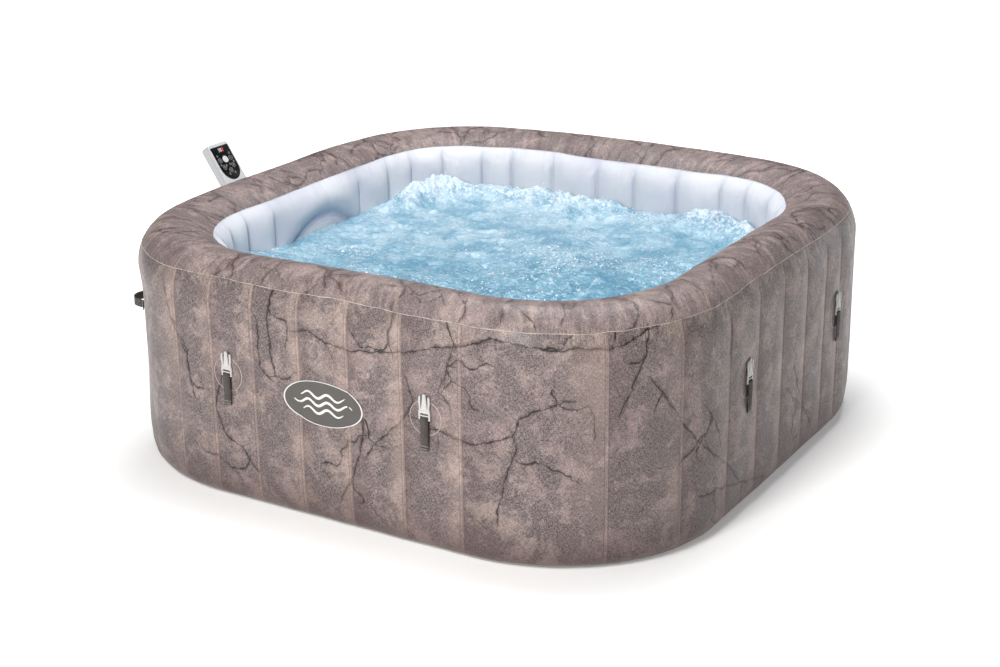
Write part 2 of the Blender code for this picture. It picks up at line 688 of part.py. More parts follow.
def make_pump(parent):
    make_pump_base(parent)
    make_casing(parent)
    make_top_cover(parent)
    make_cord_inlet(parent)
    make_control_board(parent)


def make_units(parent):
    make_turbine("circulation_pump", COUPLINGS["inlet"], 0.046, 0.034, parent)
    make_wheel("pump_impeller", COUPLINGS["inlet"], 0.036, 5, parent)
    make_turbine("air_blower", COUPLINGS["air"], 0.044, 0.030, parent)
    make_wheel("blower_wheel", COUPLINGS["air"], 0.034, 8, parent)
    make_heater(parent)
    make_transfer_hose(parent)


# ---- Control head --------------------------------------------------------------------------------

def head_outline(margin=0.0):
    middle = (HEAD_SPAN[0] + HEAD_SPAN[1]) / 2
    half = (HEAD_SPAN[1] - HEAD_SPAN[0]) / 2
    points = round_rectangle(HEAD_HALF_WIDTH - margin, half - margin, 0.012 - margin, 4)
    return [(x, y + middle) for x, y in points]


def panel_outline(margin=0.0):
    """Square at the top, a half ellipse at the bottom."""
    low, high = PANEL_SPAN[0] - margin, PANEL_SPAN[1] + margin
    half = PANEL_HALF_WIDTH + margin
    round_height = PANEL_ROUND + margin
    end = arc((0, low + round_height), (half, round_height), math.pi, 2 * math.pi, 14)
    return [(half, high), (-half, high)] + end


def make_head_shells(parent):
    front = bmesh.new()
    add_loft(front, [at_height(head_outline(), -HEAD_FRONT), at_height(head_outline(), -0.002),
                     at_height(head_outline(0.002), 0)])
    front = to_object(front, "head_front_shell", "light_plastic", parent=parent)
    pocket = bmesh.new()
    add_prism(pocket, panel_outline(GAP), -PANEL_THICKNESS - 2 * GAP, 0.01)
    combine(front, helper(pocket, "panel_pocket", parent=parent), "DIFFERENCE")

    rear = bmesh.new()
    levels = ((0.006, -HEAD_DEPTH), (0, -HEAD_DEPTH + 0.006), (0, -HEAD_FRONT - GAP))
    inside = ((HEAD_WALL, -HEAD_FRONT - GAP), (HEAD_WALL, -HEAD_DEPTH + 0.007), (0.008, -HEAD_DEPTH + HEAD_WALL))
    add_loft(rear, [at_height(head_outline(margin), z) for margin, z in levels + inside])
    rear = to_object(rear, "head_rear_shell", "light_plastic", parent=parent)
    upright = head_frame().inverted() @ Matrix.Translation((STALK_X, HEAD_ORIGIN[1], 0))
    boss = bmesh.new()
    add_prism(boss, circle(STALK_RADIUS + 0.0045, 16), 0.592, 0.6505, upright)
    combine(rear, helper(boss, "stalk_boss", parent=parent), "UNION")
    bore = bmesh.new()
    add_prism(bore, circle(STALK_RADIUS + GAP, 16), 0.55, STALK_SPAN[1] + GAP, upright)
    combine(rear, helper(bore, "head_bore", parent=parent), "DIFFERENCE")


def make_stalk(parent):
    low, high = STALK_SPAN
    section = [(STALK_RADIUS, low), (STALK_RADIUS, high), (0.0155, high), (0.0155, low)]
    mesh = bmesh.new()
    add_turned(mesh, section, 16, closed=True)
    to_object(mesh, "telescopic_stalk", "casing_plastic",
              Matrix.Translation((STALK_X, HEAD_ORIGIN[1], 0)), parent)


def make_key(name, centre, radius, low, high, material_name, parent):
    mesh = bmesh.new()
    add_turned(mesh, [(radius, low), (radius, high - 0.0003), (radius - 0.0006, high)], 16)
    to_object(mesh, name, material_name, Matrix.Translation((*centre, 0)), parent)


def make_panel(parent):
    holes = [circle(BUTTON_RADIUS + 0.0004, 20, (0, BUTTON_Y))]
    holes += [circle(KEY_RADIUS + 0.0004, 12, centre) for centre in KEYS]
    data = flat_plate("control_panel", [panel_outline(), *holes], PANEL_THICKNESS, "panel_black")
    place("control_panel", data, Matrix.Translation((0, 0, -GAP - PANEL_THICKNESS / 2)), parent)
    make_key("start_button", (0, BUTTON_Y), BUTTON_RADIUS, -0.0030, 0.0010, "key_white", parent)
    for number, centre in enumerate(KEYS, 1):
        make_key(f"key_{number}", centre, KEY_RADIUS, -0.0032, 0.0004, "key_grey", parent)


def main():
    for old in list(bpy.data.objects):
        bpy.data.objects.remove(old)
    tub = place("tub_frame", None, Matrix())
    pump = place("pump_frame", None, Matrix.Translation((*PUMP_CENTRE, 0)))
    head = place("head_frame", None, head_frame())
    outer_wall, inner_wall = make_skins(tub)
    make_webs(tub)
    make_duct(tub)
    make_badge(tub)
    make_handle("carry_handle_1", 1, tub)
    make_handle("carry_handle_2", -1, tub)
    make_buckles(tub)
    make_fittings(outer_wall, inner_wall, tub)
    make_basin_fittings(tub)
    make_units(tub)
    make_pump(pump)
    make_stalk(None)
    make_head_shells(head)
    make_panel(head)


main()
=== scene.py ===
"""The looks of a square inflatable hot tub with its pump unit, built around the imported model.

Metres, +Z up. Walls are numbered 0 (-Y), 1 (+X), 2 (+Y) and 3 (-X, the pump's side). A place on a wall is
(along, height), with along to the right as seen from outside. "Run" is the distance round the outer wall, from
the left end of wall 0's flat, and "drop" is the distance down the skin from the rim's weld.
"""

import json
import math

import bmesh
import bpy
import numpy as np
from mathutils import Matrix, Vector


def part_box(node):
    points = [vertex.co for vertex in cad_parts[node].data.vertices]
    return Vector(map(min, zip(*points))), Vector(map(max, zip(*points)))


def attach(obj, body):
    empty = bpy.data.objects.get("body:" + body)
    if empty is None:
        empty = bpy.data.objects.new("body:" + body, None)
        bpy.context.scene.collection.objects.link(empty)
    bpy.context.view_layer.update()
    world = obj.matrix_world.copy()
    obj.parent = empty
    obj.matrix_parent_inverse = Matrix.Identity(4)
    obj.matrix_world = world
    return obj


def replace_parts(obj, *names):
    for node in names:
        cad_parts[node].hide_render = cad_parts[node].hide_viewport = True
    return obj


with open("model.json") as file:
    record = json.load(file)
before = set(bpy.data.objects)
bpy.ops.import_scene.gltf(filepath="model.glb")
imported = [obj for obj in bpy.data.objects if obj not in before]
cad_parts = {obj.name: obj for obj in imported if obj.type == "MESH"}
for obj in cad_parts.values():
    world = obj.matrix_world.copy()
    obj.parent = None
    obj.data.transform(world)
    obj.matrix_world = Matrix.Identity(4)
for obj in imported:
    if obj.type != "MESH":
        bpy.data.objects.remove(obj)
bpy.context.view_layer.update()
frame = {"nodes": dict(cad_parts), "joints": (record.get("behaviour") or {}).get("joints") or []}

# ---- Driving sizes: the tub's section and plan, as on the CAD part --------------------------------
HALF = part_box("outer_wall")[1].y
CREST_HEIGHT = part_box("top_rim")[1].z
WALL_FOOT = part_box("outer_wall")[0].z
CORNER_RADIUS = 0.496
RADIUS_PER_INSET = 0.634         # the corners' radius falls by this for each metre of inset
BASE_RADIUS = 0.050
SHOULDER_HEIGHT = 0.586
CREST_INSET = 0.080
SEAM_ANGLE = math.radians(36.6)  # on the outer ellipse, where the wall is welded to the rim
RIM_INNER = (0.135, 0.092)       # half axes of the rim's inner ellipse
PRINT_END_ANGLE = math.radians(56.4)
WALL_WIDTH = CREST_INSET + RIM_INNER[0]
FLAT = HALF - CORNER_RADIUS      # half of a wall's flat stretch
CORNER_RUN = CORNER_RADIUS * math.pi / 2
QUARTER = 2 * FLAT + CORNER_RUN   # one wall and one corner
LAP = 4 * QUARTER
PUMP_WALL = 3

# ---- Skin relief ----------------------------------------------------------------------------------
BOW = 0.0062                     # how far a wall's middle stands proud
SEAM_LEAN = 0.008                # how far the seam stands out at the left corner
OUTER_PLEATS = (                 # from each wall's middle, one row for each wall and the corner after it
    (-0.545, -0.405, -0.257, -0.099, 0.062, 0.233, 0.412, 0.800, 1.020),
    (-0.400, -0.212, -0.043, 0.129, 0.280, 0.404, 0.570, 0.780, 0.960),
    (-0.400, -0.240, -0.080, 0.080, 0.240, 0.400, 0.580, 0.800, 1.000),
    (-0.400, -0.236, 0.236, 0.400, 0.620, 0.840),
)
INNER_PLEATS = (
    (-0.640, -0.490, -0.300, -0.100, 0.100, 0.300, 0.490, 0.660, 0.830),
    (-0.640, -0.490, -0.300, -0.100, 0.100, 0.300, 0.490, 0.660, 0.830),
    (-0.630, -0.490, -0.285, -0.095, 0.080, 0.290, 0.495, 0.640, 0.830),
    (-0.640, -0.490, -0.280, 0.290, 0.455, 0.600, 0.750),
)
PUFF_WIDTH = 0.16                # the width of panel that the puffs are given for
OUTER_PUFF = 0.0042
INNER_PUFF = 0.0170
WEB_BAND = 0.0055                # half width of the band where a web is welded on
SKIN_STEP = 0.0095               # between the skin's columns of points, away from the pleats
PLEAT_REACH = 0.05               # beyond this the materials don't ask how far a pleat is
SEAM_WOBBLE = 0.006
PATCH_RADIUS = 0.0485            # of the round patch behind a buckle
PATCH_RISE = 0.0025              # of its centre above the buckle's bar
BUCKLE_SEAT = 0.0010             # the skin lies this close to its plain section behind a buckle
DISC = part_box("coupling_disc")
DISC_RADIUS = (DISC[1] - DISC[0]).z / 2

# ---- Water ----------------------------------------------------------------------------------------
WATER_HEIGHT = 0.515
WATER_CELL = 0.0055
WATER_OVERLAP = 0.007            # how far the surface runs into the chamber
BUBBLES = 2200

# ---- Photographic set-up --------------------------------------------------------------------------
CAMERA_PLACE = (2.7198, -4.5412, 2.1737)
CAMERA_AZIMUTH = 31.158
CAMERA_ELEVATION = 19.674
CAMERA_ROLL = -0.659
LENS = 64.9
LIGHTS = (                       # name, place, target, size, watts, colour
    ("key", (0.60, -4.0, 2.6), (0.1, -0.5, 0.4), (1.3, 1.4), 156, (1.0, 0.985, 0.965)),
    ("top", (-0.2, 0.9, 4.2), (0, 0, 0.5), (3.0, 3.0), 205, (1, 1, 1)),
    ("side_strip", (3.0, 5.0, 1.2), (0.9, 0.3, 0.4), (0.45, 2.2), 16, (0.86, 0.92, 1.0)),
)
WORLD_STRENGTH = 0.12


def srgb(red, green, blue):
    """A colour of 0 to 255 per channel as the linear values that shaders take."""
    channels = [c / 255 for c in (red, green, blue)]
    return tuple(c / 12.92 if c <= 0.04045 else ((c + 0.055) / 1.055) ** 2.4 for c in channels) + (1.0,)


# ---- Noise and small maths ------------------------------------------------------------------------

def smooth(x, low, high):
    """0 below low, 1 above high, with a smooth turn between."""
    t = np.clip((x - low) / (high - low), 0, 1)
    return t * t * (3 - 2 * t)


def bell(x, width):
    return np.exp(-((x / width) ** 2))


def value_noise(x, y, seed, period=None):
    """Smooth noise of mean 0 and range about -1 to 1, on unit cells; period repeats it along x."""
    size = 512
    table = np.random.default_rng(seed).uniform(-1, 1, (size, size))
    low_x, low_y = np.floor(x).astype(int), np.floor(y).astype(int)
    fx, fy = x - low_x, y - low_y
    fx, fy = fx * fx * (3 - 2 * fx), fy * fy * (3 - 2 * fy)
    columns = period or size
    x0, x1 = low_x % columns % size, (low_x + 1) % columns % size
    y0, y1 = low_y % size, (low_y + 1) % size
    low = table[x0, y0] * (1 - fx) + table[x1, y0] * fx
    high = table[x0, y1] * (1 - fx) + table[x1, y1] * fx
    return low * (1 - fy) + high * fy


def run_noise(run, other, cell_run, cell_other, seed):
    """Noise over the skin that closes on itself round the tub."""
    cells = max(1, round(LAP / cell_run))
    return value_noise(run / LAP * cells, other / cell_other, seed, cells)


# ---- The tub's plan and section -------------------------------------------------------------------

def corner_radius(inset):
    return CORNER_RADIUS - RADIUS_PER_INSET * inset


def middle_of(node):
    low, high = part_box(node)
    return (low + high) / 2


def run_of(wall, along, inset=0.0):
    """The run of a place on a wall, or on the basin's side; beyond the flat it follows the corner's arc."""
    along = np.asarray(along, float)
    radius = corner_radius(inset)
    flat = HALF - inset - radius
    past = np.arcsin(np.clip((np.abs(along) - flat) / radius, 0, 1)) * CORNER_RADIUS
    return wall * QUARTER + FLAT + np.clip(along, -flat, flat) * FLAT / flat + np.sign(along) * past


def plan(run, inset):
    """Points (x, y) at this run and inset, and the outward directions there."""
    run = np.mod(run, LAP)
    wall = np.floor(run / QUARTER)
    local = run - wall * QUARTER
    angle = np.clip((local - 2 * FLAT) / CORNER_RADIUS, 0, math.pi / 2)
    radius = corner_radius(inset)
    middle = HALF - inset - radius
    share = np.clip(local / FLAT - 1, -1, 1)
    x = share * middle + radius * np.sin(angle)
    y = -middle - radius * np.cos(angle)
    turn = wall * math.pi / 2
    c, s = np.cos(turn), np.sin(turn)
    place = np.stack([x * c - y * s, x * s + y * c], -1)
    out_x, out_y = np.sin(angle), -np.cos(angle)
    return place, np.stack([out_x * c - out_y * s, out_x * s + out_y * c], -1)


class Section:
    """The chamber's section as a line of length t, from the outer foot over the crest to the basin's foot."""

    def __init__(self):
        steps = np.linspace(0, 1, 60)
        foot = 1.5 * math.pi - steps * math.pi / 2
        outer, inner = steps * math.pi / 2, steps[1:] * math.pi / 2
        floor = WALL_FOOT + 0.002
        inset = np.concatenate([
            BASE_RADIUS + BASE_RADIUS * np.cos(foot),
            CREST_INSET - CREST_INSET * np.cos(outer),
            CREST_INSET + RIM_INNER[0] * np.sin(inner),
            [WALL_WIDTH, WALL_WIDTH - 0.007, 0.197],       # the basin's foot
        ])
        height = np.concatenate([
            WALL_FOOT + BASE_RADIUS + BASE_RADIUS * np.sin(foot),
            SHOULDER_HEIGHT + (CREST_HEIGHT - SHOULDER_HEIGHT) * np.sin(outer),
            CREST_HEIGHT - RIM_INNER[1] * (1 - np.cos(inner)),
            [0.055, 0.022, floor],
        ])
        length = np.concatenate([[0], np.cumsum(np.hypot(np.diff(inset), np.diff(height)))])
        self.t = np.linspace(0, length[-1], 1200)
        self.inset = np.interp(self.t, length, inset)
        self.height = np.interp(self.t, length, height)
        along = np.stack([np.gradient(self.inset, self.t), np.gradient(self.height, self.t)])
        along /= np.hypot(*along)
        self.out_inset, self.out_height = -along[1], along[0]
        self.top = int(np.argmax(self.height))
        self.seam = self.outside(SHOULDER_HEIGHT + (CREST_HEIGHT - SHOULDER_HEIGHT) * math.sin(SEAM_ANGLE))
        self.print_end = self.inside(CREST_HEIGHT - RIM_INNER[1] * (1 - math.cos(PRINT_END_ANGLE)))

    def outside(self, height):
        """Where the line is at this height on the tub's outer side."""
        return np.interp(height, self.height[:self.top], self.t[:self.top])

    def inside(self, height):
        """Where the line is at this height on the basin's side."""
        return np.interp(height, self.height[:self.top:-1], self.t[:self.top:-1])

    def at(self, t):
        return [np.interp(t, self.t, v) for v in (self.inset, self.height, self.out_inset, self.out_height)]


SECTION = Section()


def pleat_runs(pleats):
    """Every pleat's run, sorted."""
    places = [wall * QUARTER + FLAT + place for wall, row in enumerate(pleats) for place in row]
    return np.sort(np.mod(places, LAP))


def panel(run, pleats):
    """For each run: how far it is through its panel (0 to 1), the panel's width and the distance to a pleat."""
    runs = pleat_runs(pleats)
    edges = np.concatenate([[runs[-1] - LAP], runs, [runs[0] + LAP]])
    run = np.mod(run, LAP)
    index = np.clip(np.searchsorted(edges, run, side="right"), 1, len(edges) - 1)
    low, high = edges[index - 1], edges[index]
    return (run - low) / (high - low), high - low, np.minimum(run - low, high - run)


def fitting_mask(run, height):
    """0 where the pump wall's flanges lie flat on the skin, 1 elsewhere."""
    mask = np.ones(np.broadcast(run, height).shape)
    for node in ("inlet_coupling", "air_coupling", "outlet_coupling", "drain_valve", "inflation_valve"):
        middle = middle_of(node)
        away = np.hypot(run - run_of(PUMP_WALL, -middle.y), height - middle.z)
        mask = mask * smooth(away, 0.045, 0.110)
    return mask


def place_on_wall(point):
    """(wall, along) of a point outside the tub's flats."""
    x, y = point.x, point.y
    if abs(y) > abs(x):
        return (0, x) if y < 0 else (2, -x)
    return (1, y) if x > 0 else (3, -y)


BARS = [Vector(j["pos_m"]) for j in frame["joints"] if j["name"].startswith("buckle")]


def seated(run, height, proud):
    """The relief, pressed flat behind the buckles."""
    for bar in BARS:
        wall, along = place_on_wall(bar)
        away = np.hypot(run - run_of(wall, along), (height - bar.z - PATCH_RISE) * 0.9)
        share = smooth(away, 0.042, 0.100)
        proud = proud * share + np.minimum(proud, BUCKLE_SEAT) * (1 - share)
    return proud


def wall_waves(run, t):
    return 0.0012 * run_noise(run, t, 0.33, 0.30, 11) + 0.0005 * run_noise(run, t, 0.09, 0.22, 12)


def rim_waves(run, t):
    return 0.0022 * run_noise(run, t, 0.30, 0.25, 21) + 0.0007 * run_noise(run, t, 0.08, 0.10, 22)


def handover(share, before, after):
    """From one side's value at a weld (share 0) to the other side's own (share 1), so that the sheets meet."""
    return (1 - share) * before + share * after


def bow(run):
    """How far a wall's middle stands proud, which dies out at its corners."""
    local = np.mod(run, QUARTER)
    return BOW * np.clip(1 - ((local - FLAT) / (FLAT + 0.06)) ** 2, 0, 1)


def left_corner(run):
    """1 in the middle of the corner between walls 3 and 0, whose seam stands out in the photo, 0 away from it."""
    return bell(np.mod(run + LAP / 2, LAP) - (LAP / 2 - CORNER_RUN * 0.55), 0.20)


def outer_relief(run, t, height):
    """How far the printed wall stands proud of its plain section."""
    through, width, near = panel(run, OUTER_PLEATS)
    below = np.clip(RIM_START(run) - t, 0, None)
    fade = smooth(height, 0.030, 0.110) * smooth(below, 0.0, 0.075)
    puff = OUTER_PUFF * np.minimum(width / PUFF_WIDTH, 1.5) * (1 - np.abs(2 * through - 1) ** 2.4)
    band = -0.0011 * bell(near, WEB_BAND) + 0.0005 * bell(near - WEB_BAND, 0.0022)
    pucker = 0.0011 * run_noise(run, t, 0.026, 0.5, 13) * np.exp(-below / 0.035) * smooth(below, 0.002, 0.012)
    foot = 0.0015 * run_noise(run, t, 0.06, 0.5, 14) * np.exp(-np.abs(height - 0.045) / 0.03)
    creases = 0.0010 * np.clip(run_noise(run, t, 0.045, 0.60, 15), 0, 1) ** 2 * corner_share(run)
    lean = -0.006 * smooth(height, 0.10, 0.30) * (1 - smooth(height, 0.50, 0.60))
    lean = left_corner(run) * (lean + SEAM_LEAN * (1 - smooth(below, 0.0, 0.09)))
    bowed = bow(run) * smooth(height, 0.0, 0.12)
    shape = fade * (puff + band + creases) + wall_waves(run, t) + pucker + foot + bowed + lean
    return seated(run, height, shape * fitting_mask(run, height))


def corner_share(run):
    """1 on the corner arcs and 0 on the flats."""
    local = np.mod(run, QUARTER)
    return smooth(local, 2 * FLAT - 0.05, 2 * FLAT + 0.10) * (1 - smooth(local, QUARTER - 0.10, QUARTER + 0.05))


def rim_relief(run, t, _height):
    """How far the printed rim stands proud of its plain section."""
    from_seam, to_end = t - RIM_START(run), PRINT_END(run) - t
    soft = handover(smooth(from_seam, 0.0, 0.06), wall_waves(run, t), rim_waves(run, t))
    pucker = 0.0014 * run_noise(run + 0.4 * t, t, 0.030, 0.5, 23) * np.exp(-from_seam / 0.040)
    pucker *= smooth(from_seam, 0.001, 0.010)
    tuck = 0.0022 * run_noise(run, t, 0.035, 0.5, 24) * np.exp(-to_end / 0.045) * smooth(to_end, 0.001, 0.012)
    lean = SEAM_LEAN * left_corner(run) * (1 - smooth(from_seam, 0.02, 0.20))
    return soft + pucker + tuck + bow(run) * (1 - smooth(from_seam, 0.05, 0.22)) + lean


def from_disc(run, height):
    """How far along the basin's side the round disc's centre is, and the distance from it in disc radii."""
    middle = middle_of("coupling_disc")
    beside = (run - run_of(PUMP_WALL, -middle.y, WALL_WIDTH)) * (FLAT - (1 - RADIUS_PER_INSET) * WALL_WIDTH) / FLAT
    return beside, np.hypot(beside, height - middle.z) / DISC_RADIUS


def inner_relief(run, t, height):
    """The basin's side, which bulges between sharp pleats and is pressed flat behind the round disc."""
    through, width, near = panel(run, INNER_PLEATS)
    below = t - PRINT_END(run)
    fade = smooth(below, 0.004, 0.090) * smooth(height, 0.02, 0.12)
    lopsided = through ** 0.85
    puff = INNER_PUFF * np.minimum(width / PUFF_WIDTH, 1.3) * (1 - np.abs(2 * lopsided - 1) ** 2.4)
    crease = -0.0035 * bell(near, 0.0045)
    soft = 0.0010 * run_noise(run, t, 0.25, 0.30, 31) + 0.0005 * run_noise(run, t, 0.05, 0.16, 32)
    soft = handover(smooth(below, 0.0, 0.05), rim_waves(run, t), soft)
    tuck = 0.0016 * run_noise(run, t, 0.030, 0.6, 33) * np.exp(-below / 0.06) * smooth(below, 0.001, 0.014)
    pinch = 0.0036 * run_noise(run, t, 0.018, 0.8, 34) * bell(near, 0.028) * smooth(below, 0.01, 0.04)
    pinch *= np.exp(-below / 0.16)
    shape = fade * (puff + crease) + soft + tuck + pinch
    beside, away = from_disc(run, height)
    above = bell(beside - 0.02, 0.06) * smooth(away, 1.25, 1.45)
    folds = 0.0030 * np.cos(beside * 2 * math.pi / 0.034) * above
    groove = -0.0070 * bell(away - 1.10, 0.045)
    return shape * smooth(away, 1.0, 1.40) * fitting_mask(run, height) + (groove + folds) * fade


# ---- Cracks of the printed pattern ----------------------------------------------------------------

HIDDEN_CRACKS = 14               # on the walls that the photo doesn't show
RIM_CRACKS = 58
SEEN_CRACKS = (                  # (level, (round the tub from wall 0's middle, height) points) of each crack
    (0, ((-0.11, 0.56), (-0.055, 0.573), (0.0, 0.545), (0.075, 0.538), (0.15, 0.546), (0.248, 0.564), (0.335, 0.589),
         (0.45, 0.617), (0.50, 0.640), (0.565, 0.632), (0.645, 0.623), (0.685, 0.618), (0.73, 0.627), (0.79, 0.620),
         (0.865, 0.632), (0.91, 0.652), (0.975, 0.666))),
    (1, ((0.915, 0.65), (0.895, 0.587), (0.87, 0.525), (0.835, 0.445))),
    (0, ((0.32, 0.363), (0.37, 0.358), (0.45, 0.345), (0.515, 0.37), (0.56, 0.384), (0.57, 0.356), (0.555, 0.312),
         (0.54, 0.264), (0.525, 0.204), (0.515, 0.14))),
    (1, ((0.56, 0.384), (0.575, 0.426), (0.605, 0.456), (0.65, 0.468), (0.69, 0.486), (0.72, 0.489))),
    (0, ((0.92, 0.52), (0.96, 0.47), (1.005, 0.405), (1.06, 0.335), (1.145, 0.258), (1.235, 0.195), (1.30, 0.13))),
    (1, ((1.12, 0.39), (1.15, 0.35), (1.18, 0.297), (1.195, 0.248))),
    (1, ((1.235, 0.637), (1.245, 0.544), (1.23, 0.487))),
    (1, ((1.10, 0.15), (1.18, 0.14), (1.26, 0.123), (1.40, 0.085), (1.50, 0.053))),
    (0, ((1.64, 0.27), (1.72, 0.207), (1.79, 0.155), (1.83, 0.107))),
    (1, ((1.69, 0.37), (1.68, 0.332), (1.71, 0.27), (1.77, 0.18))),
    (0, ((-0.185, 0.655), (-0.195, 0.585), (-0.19, 0.475), (-0.175, 0.418))),
    (0, ((-0.59, 0.617), (-0.555, 0.49), (-0.50, 0.427), (-0.48, 0.305))),
    (0, ((-0.34, 0.457), (-0.39, 0.332), (-0.40, 0.275), (-0.37, 0.21), (-0.31, 0.175), (-0.26, 0.115))),
    (0, ((0.10, 0.385), (0.11, 0.33), (0.105, 0.287), (0.075, 0.19), (0.03, 0.10))),
    (1, ((0.21, 0.655), (0.20, 0.60), (0.21, 0.557))),
    (1, ((0.39, 0.58), (0.375, 0.525), (0.35, 0.476), (0.38, 0.44))),
    (1, ((0.25, 0.498), (0.27, 0.427), (0.22, 0.353), (0.15, 0.294), (0.115, 0.244))),
    (1, ((-0.235, 0.563), (-0.23, 0.43), (-0.19, 0.41))),
)


def wander(rng, start, heading, length, step=0.020, turn=0.38):
    """A crack that strays from its heading as it goes."""
    points, way = [np.array(start)], heading
    for _ in range(int(length / step)):
        way = heading + 0.75 * (way - heading) + rng.normal(0, turn)
        points.append(points[-1] + step * np.array([math.cos(way), math.sin(way)]))
    return points


def make_cracks():
    """(level, points, strength) of every crack, in (run, t). A branch's level differs from its parent's."""
    rng = np.random.default_rng(101)
    trunks = [(level, [np.array([FLAT + place, float(SECTION.outside(height))]) for place, height in row], 1.0)
              for level, row in SEEN_CRACKS]
    seam, end = SECTION.seam, SECTION.print_end
    for i in range(HIDDEN_CRACKS):
        run = FLAT + 2.15 + (LAP - 2.95) * (i + rng.uniform(0.1, 0.9)) / HIDDEN_CRACKS
        start = (run, rng.uniform(0.15, seam))
        trunks.append((i % 2, wander(rng, start, rng.uniform(-2.6, -0.5), rng.uniform(0.3, 0.6)), 1.0))
    for i in range(RIM_CRACKS):
        run = LAP * (i + rng.uniform(0.0, 1.0)) / RIM_CRACKS
        heading = rng.choice((-1, 1)) * rng.uniform(0.6, 1.5)
        start = rng.uniform(seam + 0.01, seam + 0.10) if heading > 0 else rng.uniform(end - 0.10, end)
        points = wander(rng, (run, start), heading, rng.uniform(0.12, 0.30), 0.016)
        trunks.append((i % 2, points, rng.uniform(0.8, 1.2)))
    cracks = []
    for level, points, strength in trunks:
        cracks.append((level, points, strength))
        for _ in range(rng.integers(1, 4)):
            at = rng.integers(0, len(points) - 1)
            along = points[at + 1] - points[at]
            heading = math.atan2(along[1], along[0]) + rng.choice((-1, 1)) * rng.uniform(0.4, 1.2)
            start = points[at] + along * rng.uniform(0.2, 0.8)
            branch = wander(rng, start, heading, rng.uniform(0.05, 0.20), 0.013, 0.5)
            cracks.append((2, branch, 0.6 * strength))
    return cracks


def crack_fields(run, t, rim):
    """For each level (distance with its side's sign, strength near the line), and the dark stain beside cracks."""
    run, t = np.ravel(run), np.ravel(t)
    levels = [[np.full(len(run), 1.0), np.zeros(len(run))] for _ in range(3)]
    stain = np.zeros(len(run))
    for level, points, strength in CRACKS:
        if (points[0][1] > SECTION.seam) != rim:
            continue
        nearest, signed = np.full(len(run), 1.0), np.zeros(len(run))
        for a, b in zip(points, points[1:]):
            step = b - a
            x, y = (run - a[0] + LAP / 2) % LAP - LAP / 2, t - a[1]
            share = np.clip((x * step[0] + y * step[1]) / (step @ step), 0, 1)
            away = np.hypot(x - share * step[0], y - share * step[1])
            closer = away < nearest
            nearest = np.where(closer, away, nearest)
            signed = np.where(closer, np.copysign(away, step[0] * y - step[1] * x), signed)
        best = levels[level]
        closer = nearest < np.abs(best[0])
        best[0] = np.where(closer, signed, best[0])
        best[1] = np.where(closer, strength * bell(nearest, 0.020), best[1])
        stain += strength * (1.1 * bell(signed - 0.018, 0.036) + 0.5 * np.exp(-nearest / 0.022))
    return levels, np.clip(stain, 0, 1.4)


CRACKS = make_cracks()


def store_print(made, run, t, rim=False):
    """What the printed pattern's material reads."""
    through, _, near = panel(run, OUTER_PLEATS)
    store(made, "pleat", np.minimum(near, PLEAT_REACH))
    store(made, "through", through)
    store(made, "run", run)
    store(made, "drop", SECTION.seam + seam_shift(run) - t)
    levels, stain = crack_fields(run, t, rim)
    store(made, "stain", stain)
    for level, (signed, strength) in enumerate(levels):
        store(made, f"crack_{level}", signed)
        store(made, f"crack_strength_{level}", strength)


# ---- Meshes ---------------------------------------------------------------------------------------

def linked(name, data):
    """A new object of the scene."""
    made = bpy.data.objects.new(name, data)
    bpy.context.scene.collection.objects.link(made)
    return made


def settled(name, shape):
    """The mesh of a bmesh, which isn't needed any more."""
    data = bpy.data.meshes.new(name)
    shape.to_mesh(data)
    shape.free()
    return data


def mesh_object(name, points, faces, body, material, shade=True):
    data = bpy.data.meshes.new(name)
    data.from_pydata([tuple(p) for p in points], [], faces)
    data.validate()
    if shade:
        data.shade_smooth()
    made = linked(name, data)
    data.materials.append(material)
    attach(made, body)
    return made


def grid_faces(rows, columns, wrap=False, flip=False):
    """Quads between a grid's neighbouring points, rows first."""
    across = np.arange(columns if wrap else columns - 1)
    r, c = np.meshgrid(np.arange(rows - 1), across, indexing="ij")
    n = (c + 1) % columns
    quads = np.stack([r * columns + c, r * columns + n, (r + 1) * columns + n, (r + 1) * columns + c], -1)
    quads = quads.reshape(-1, 4)
    return (quads[:, ::-1] if flip else quads).tolist()


def end_caps(size, count):
    """The faces that close the first and the last loop of count points."""
    return [list(range(count))[::-1], list(range(size - count, size))]


def store(made, name, values):
    """A number on each point, for the material."""
    attribute = made.data.attributes.new(name, "FLOAT", "POINT")
    attribute.data.foreach_set("value", np.asarray(values, np.float32).ravel())


def skin_columns(pleats):
    """Runs round the tub: an even spacing, and extra columns at every pleat."""
    offsets = np.array([-0.016, -0.011, -0.0078, -WEB_BAND, -0.0028, 0, 0.0028, WEB_BAND, 0.0078, 0.011, 0.016])
    close = (pleat_runs(pleats)[:, None] + offsets).ravel() % LAP
    even = np.arange(0, LAP, SKIN_STEP)
    gap = np.abs((even[:, None] - close[None, :] + LAP / 2) % LAP - LAP / 2).min(1)
    return np.sort(np.concatenate([close, even[gap > SKIN_STEP * 0.45]]))


def skin_point(run, t, relief, lift=0.0):
    """Points of the skin in space, with its relief."""
    inset, height, out_inset, out_height = SECTION.at(t)
    place, out = plan(run, inset)
    proud = relief(run, t, height) + lift
    x = place[..., 0] - out_inset * out[..., 0] * proud
    y = place[..., 1] - out_inset * out[..., 1] * proud
    return np.stack([x, y, height + out_height * proud], -1)


def seam_shift(run):
    return SEAM_WOBBLE * run_noise(run, 0 * run, 0.23, 1.0, 5) + 0.0015 * run_noise(run, 0 * run, 0.04, 1.0, 6)


def end_shift(run):
    return 0.004 * run_noise(run, 0 * run, 0.16, 1.0, 7)


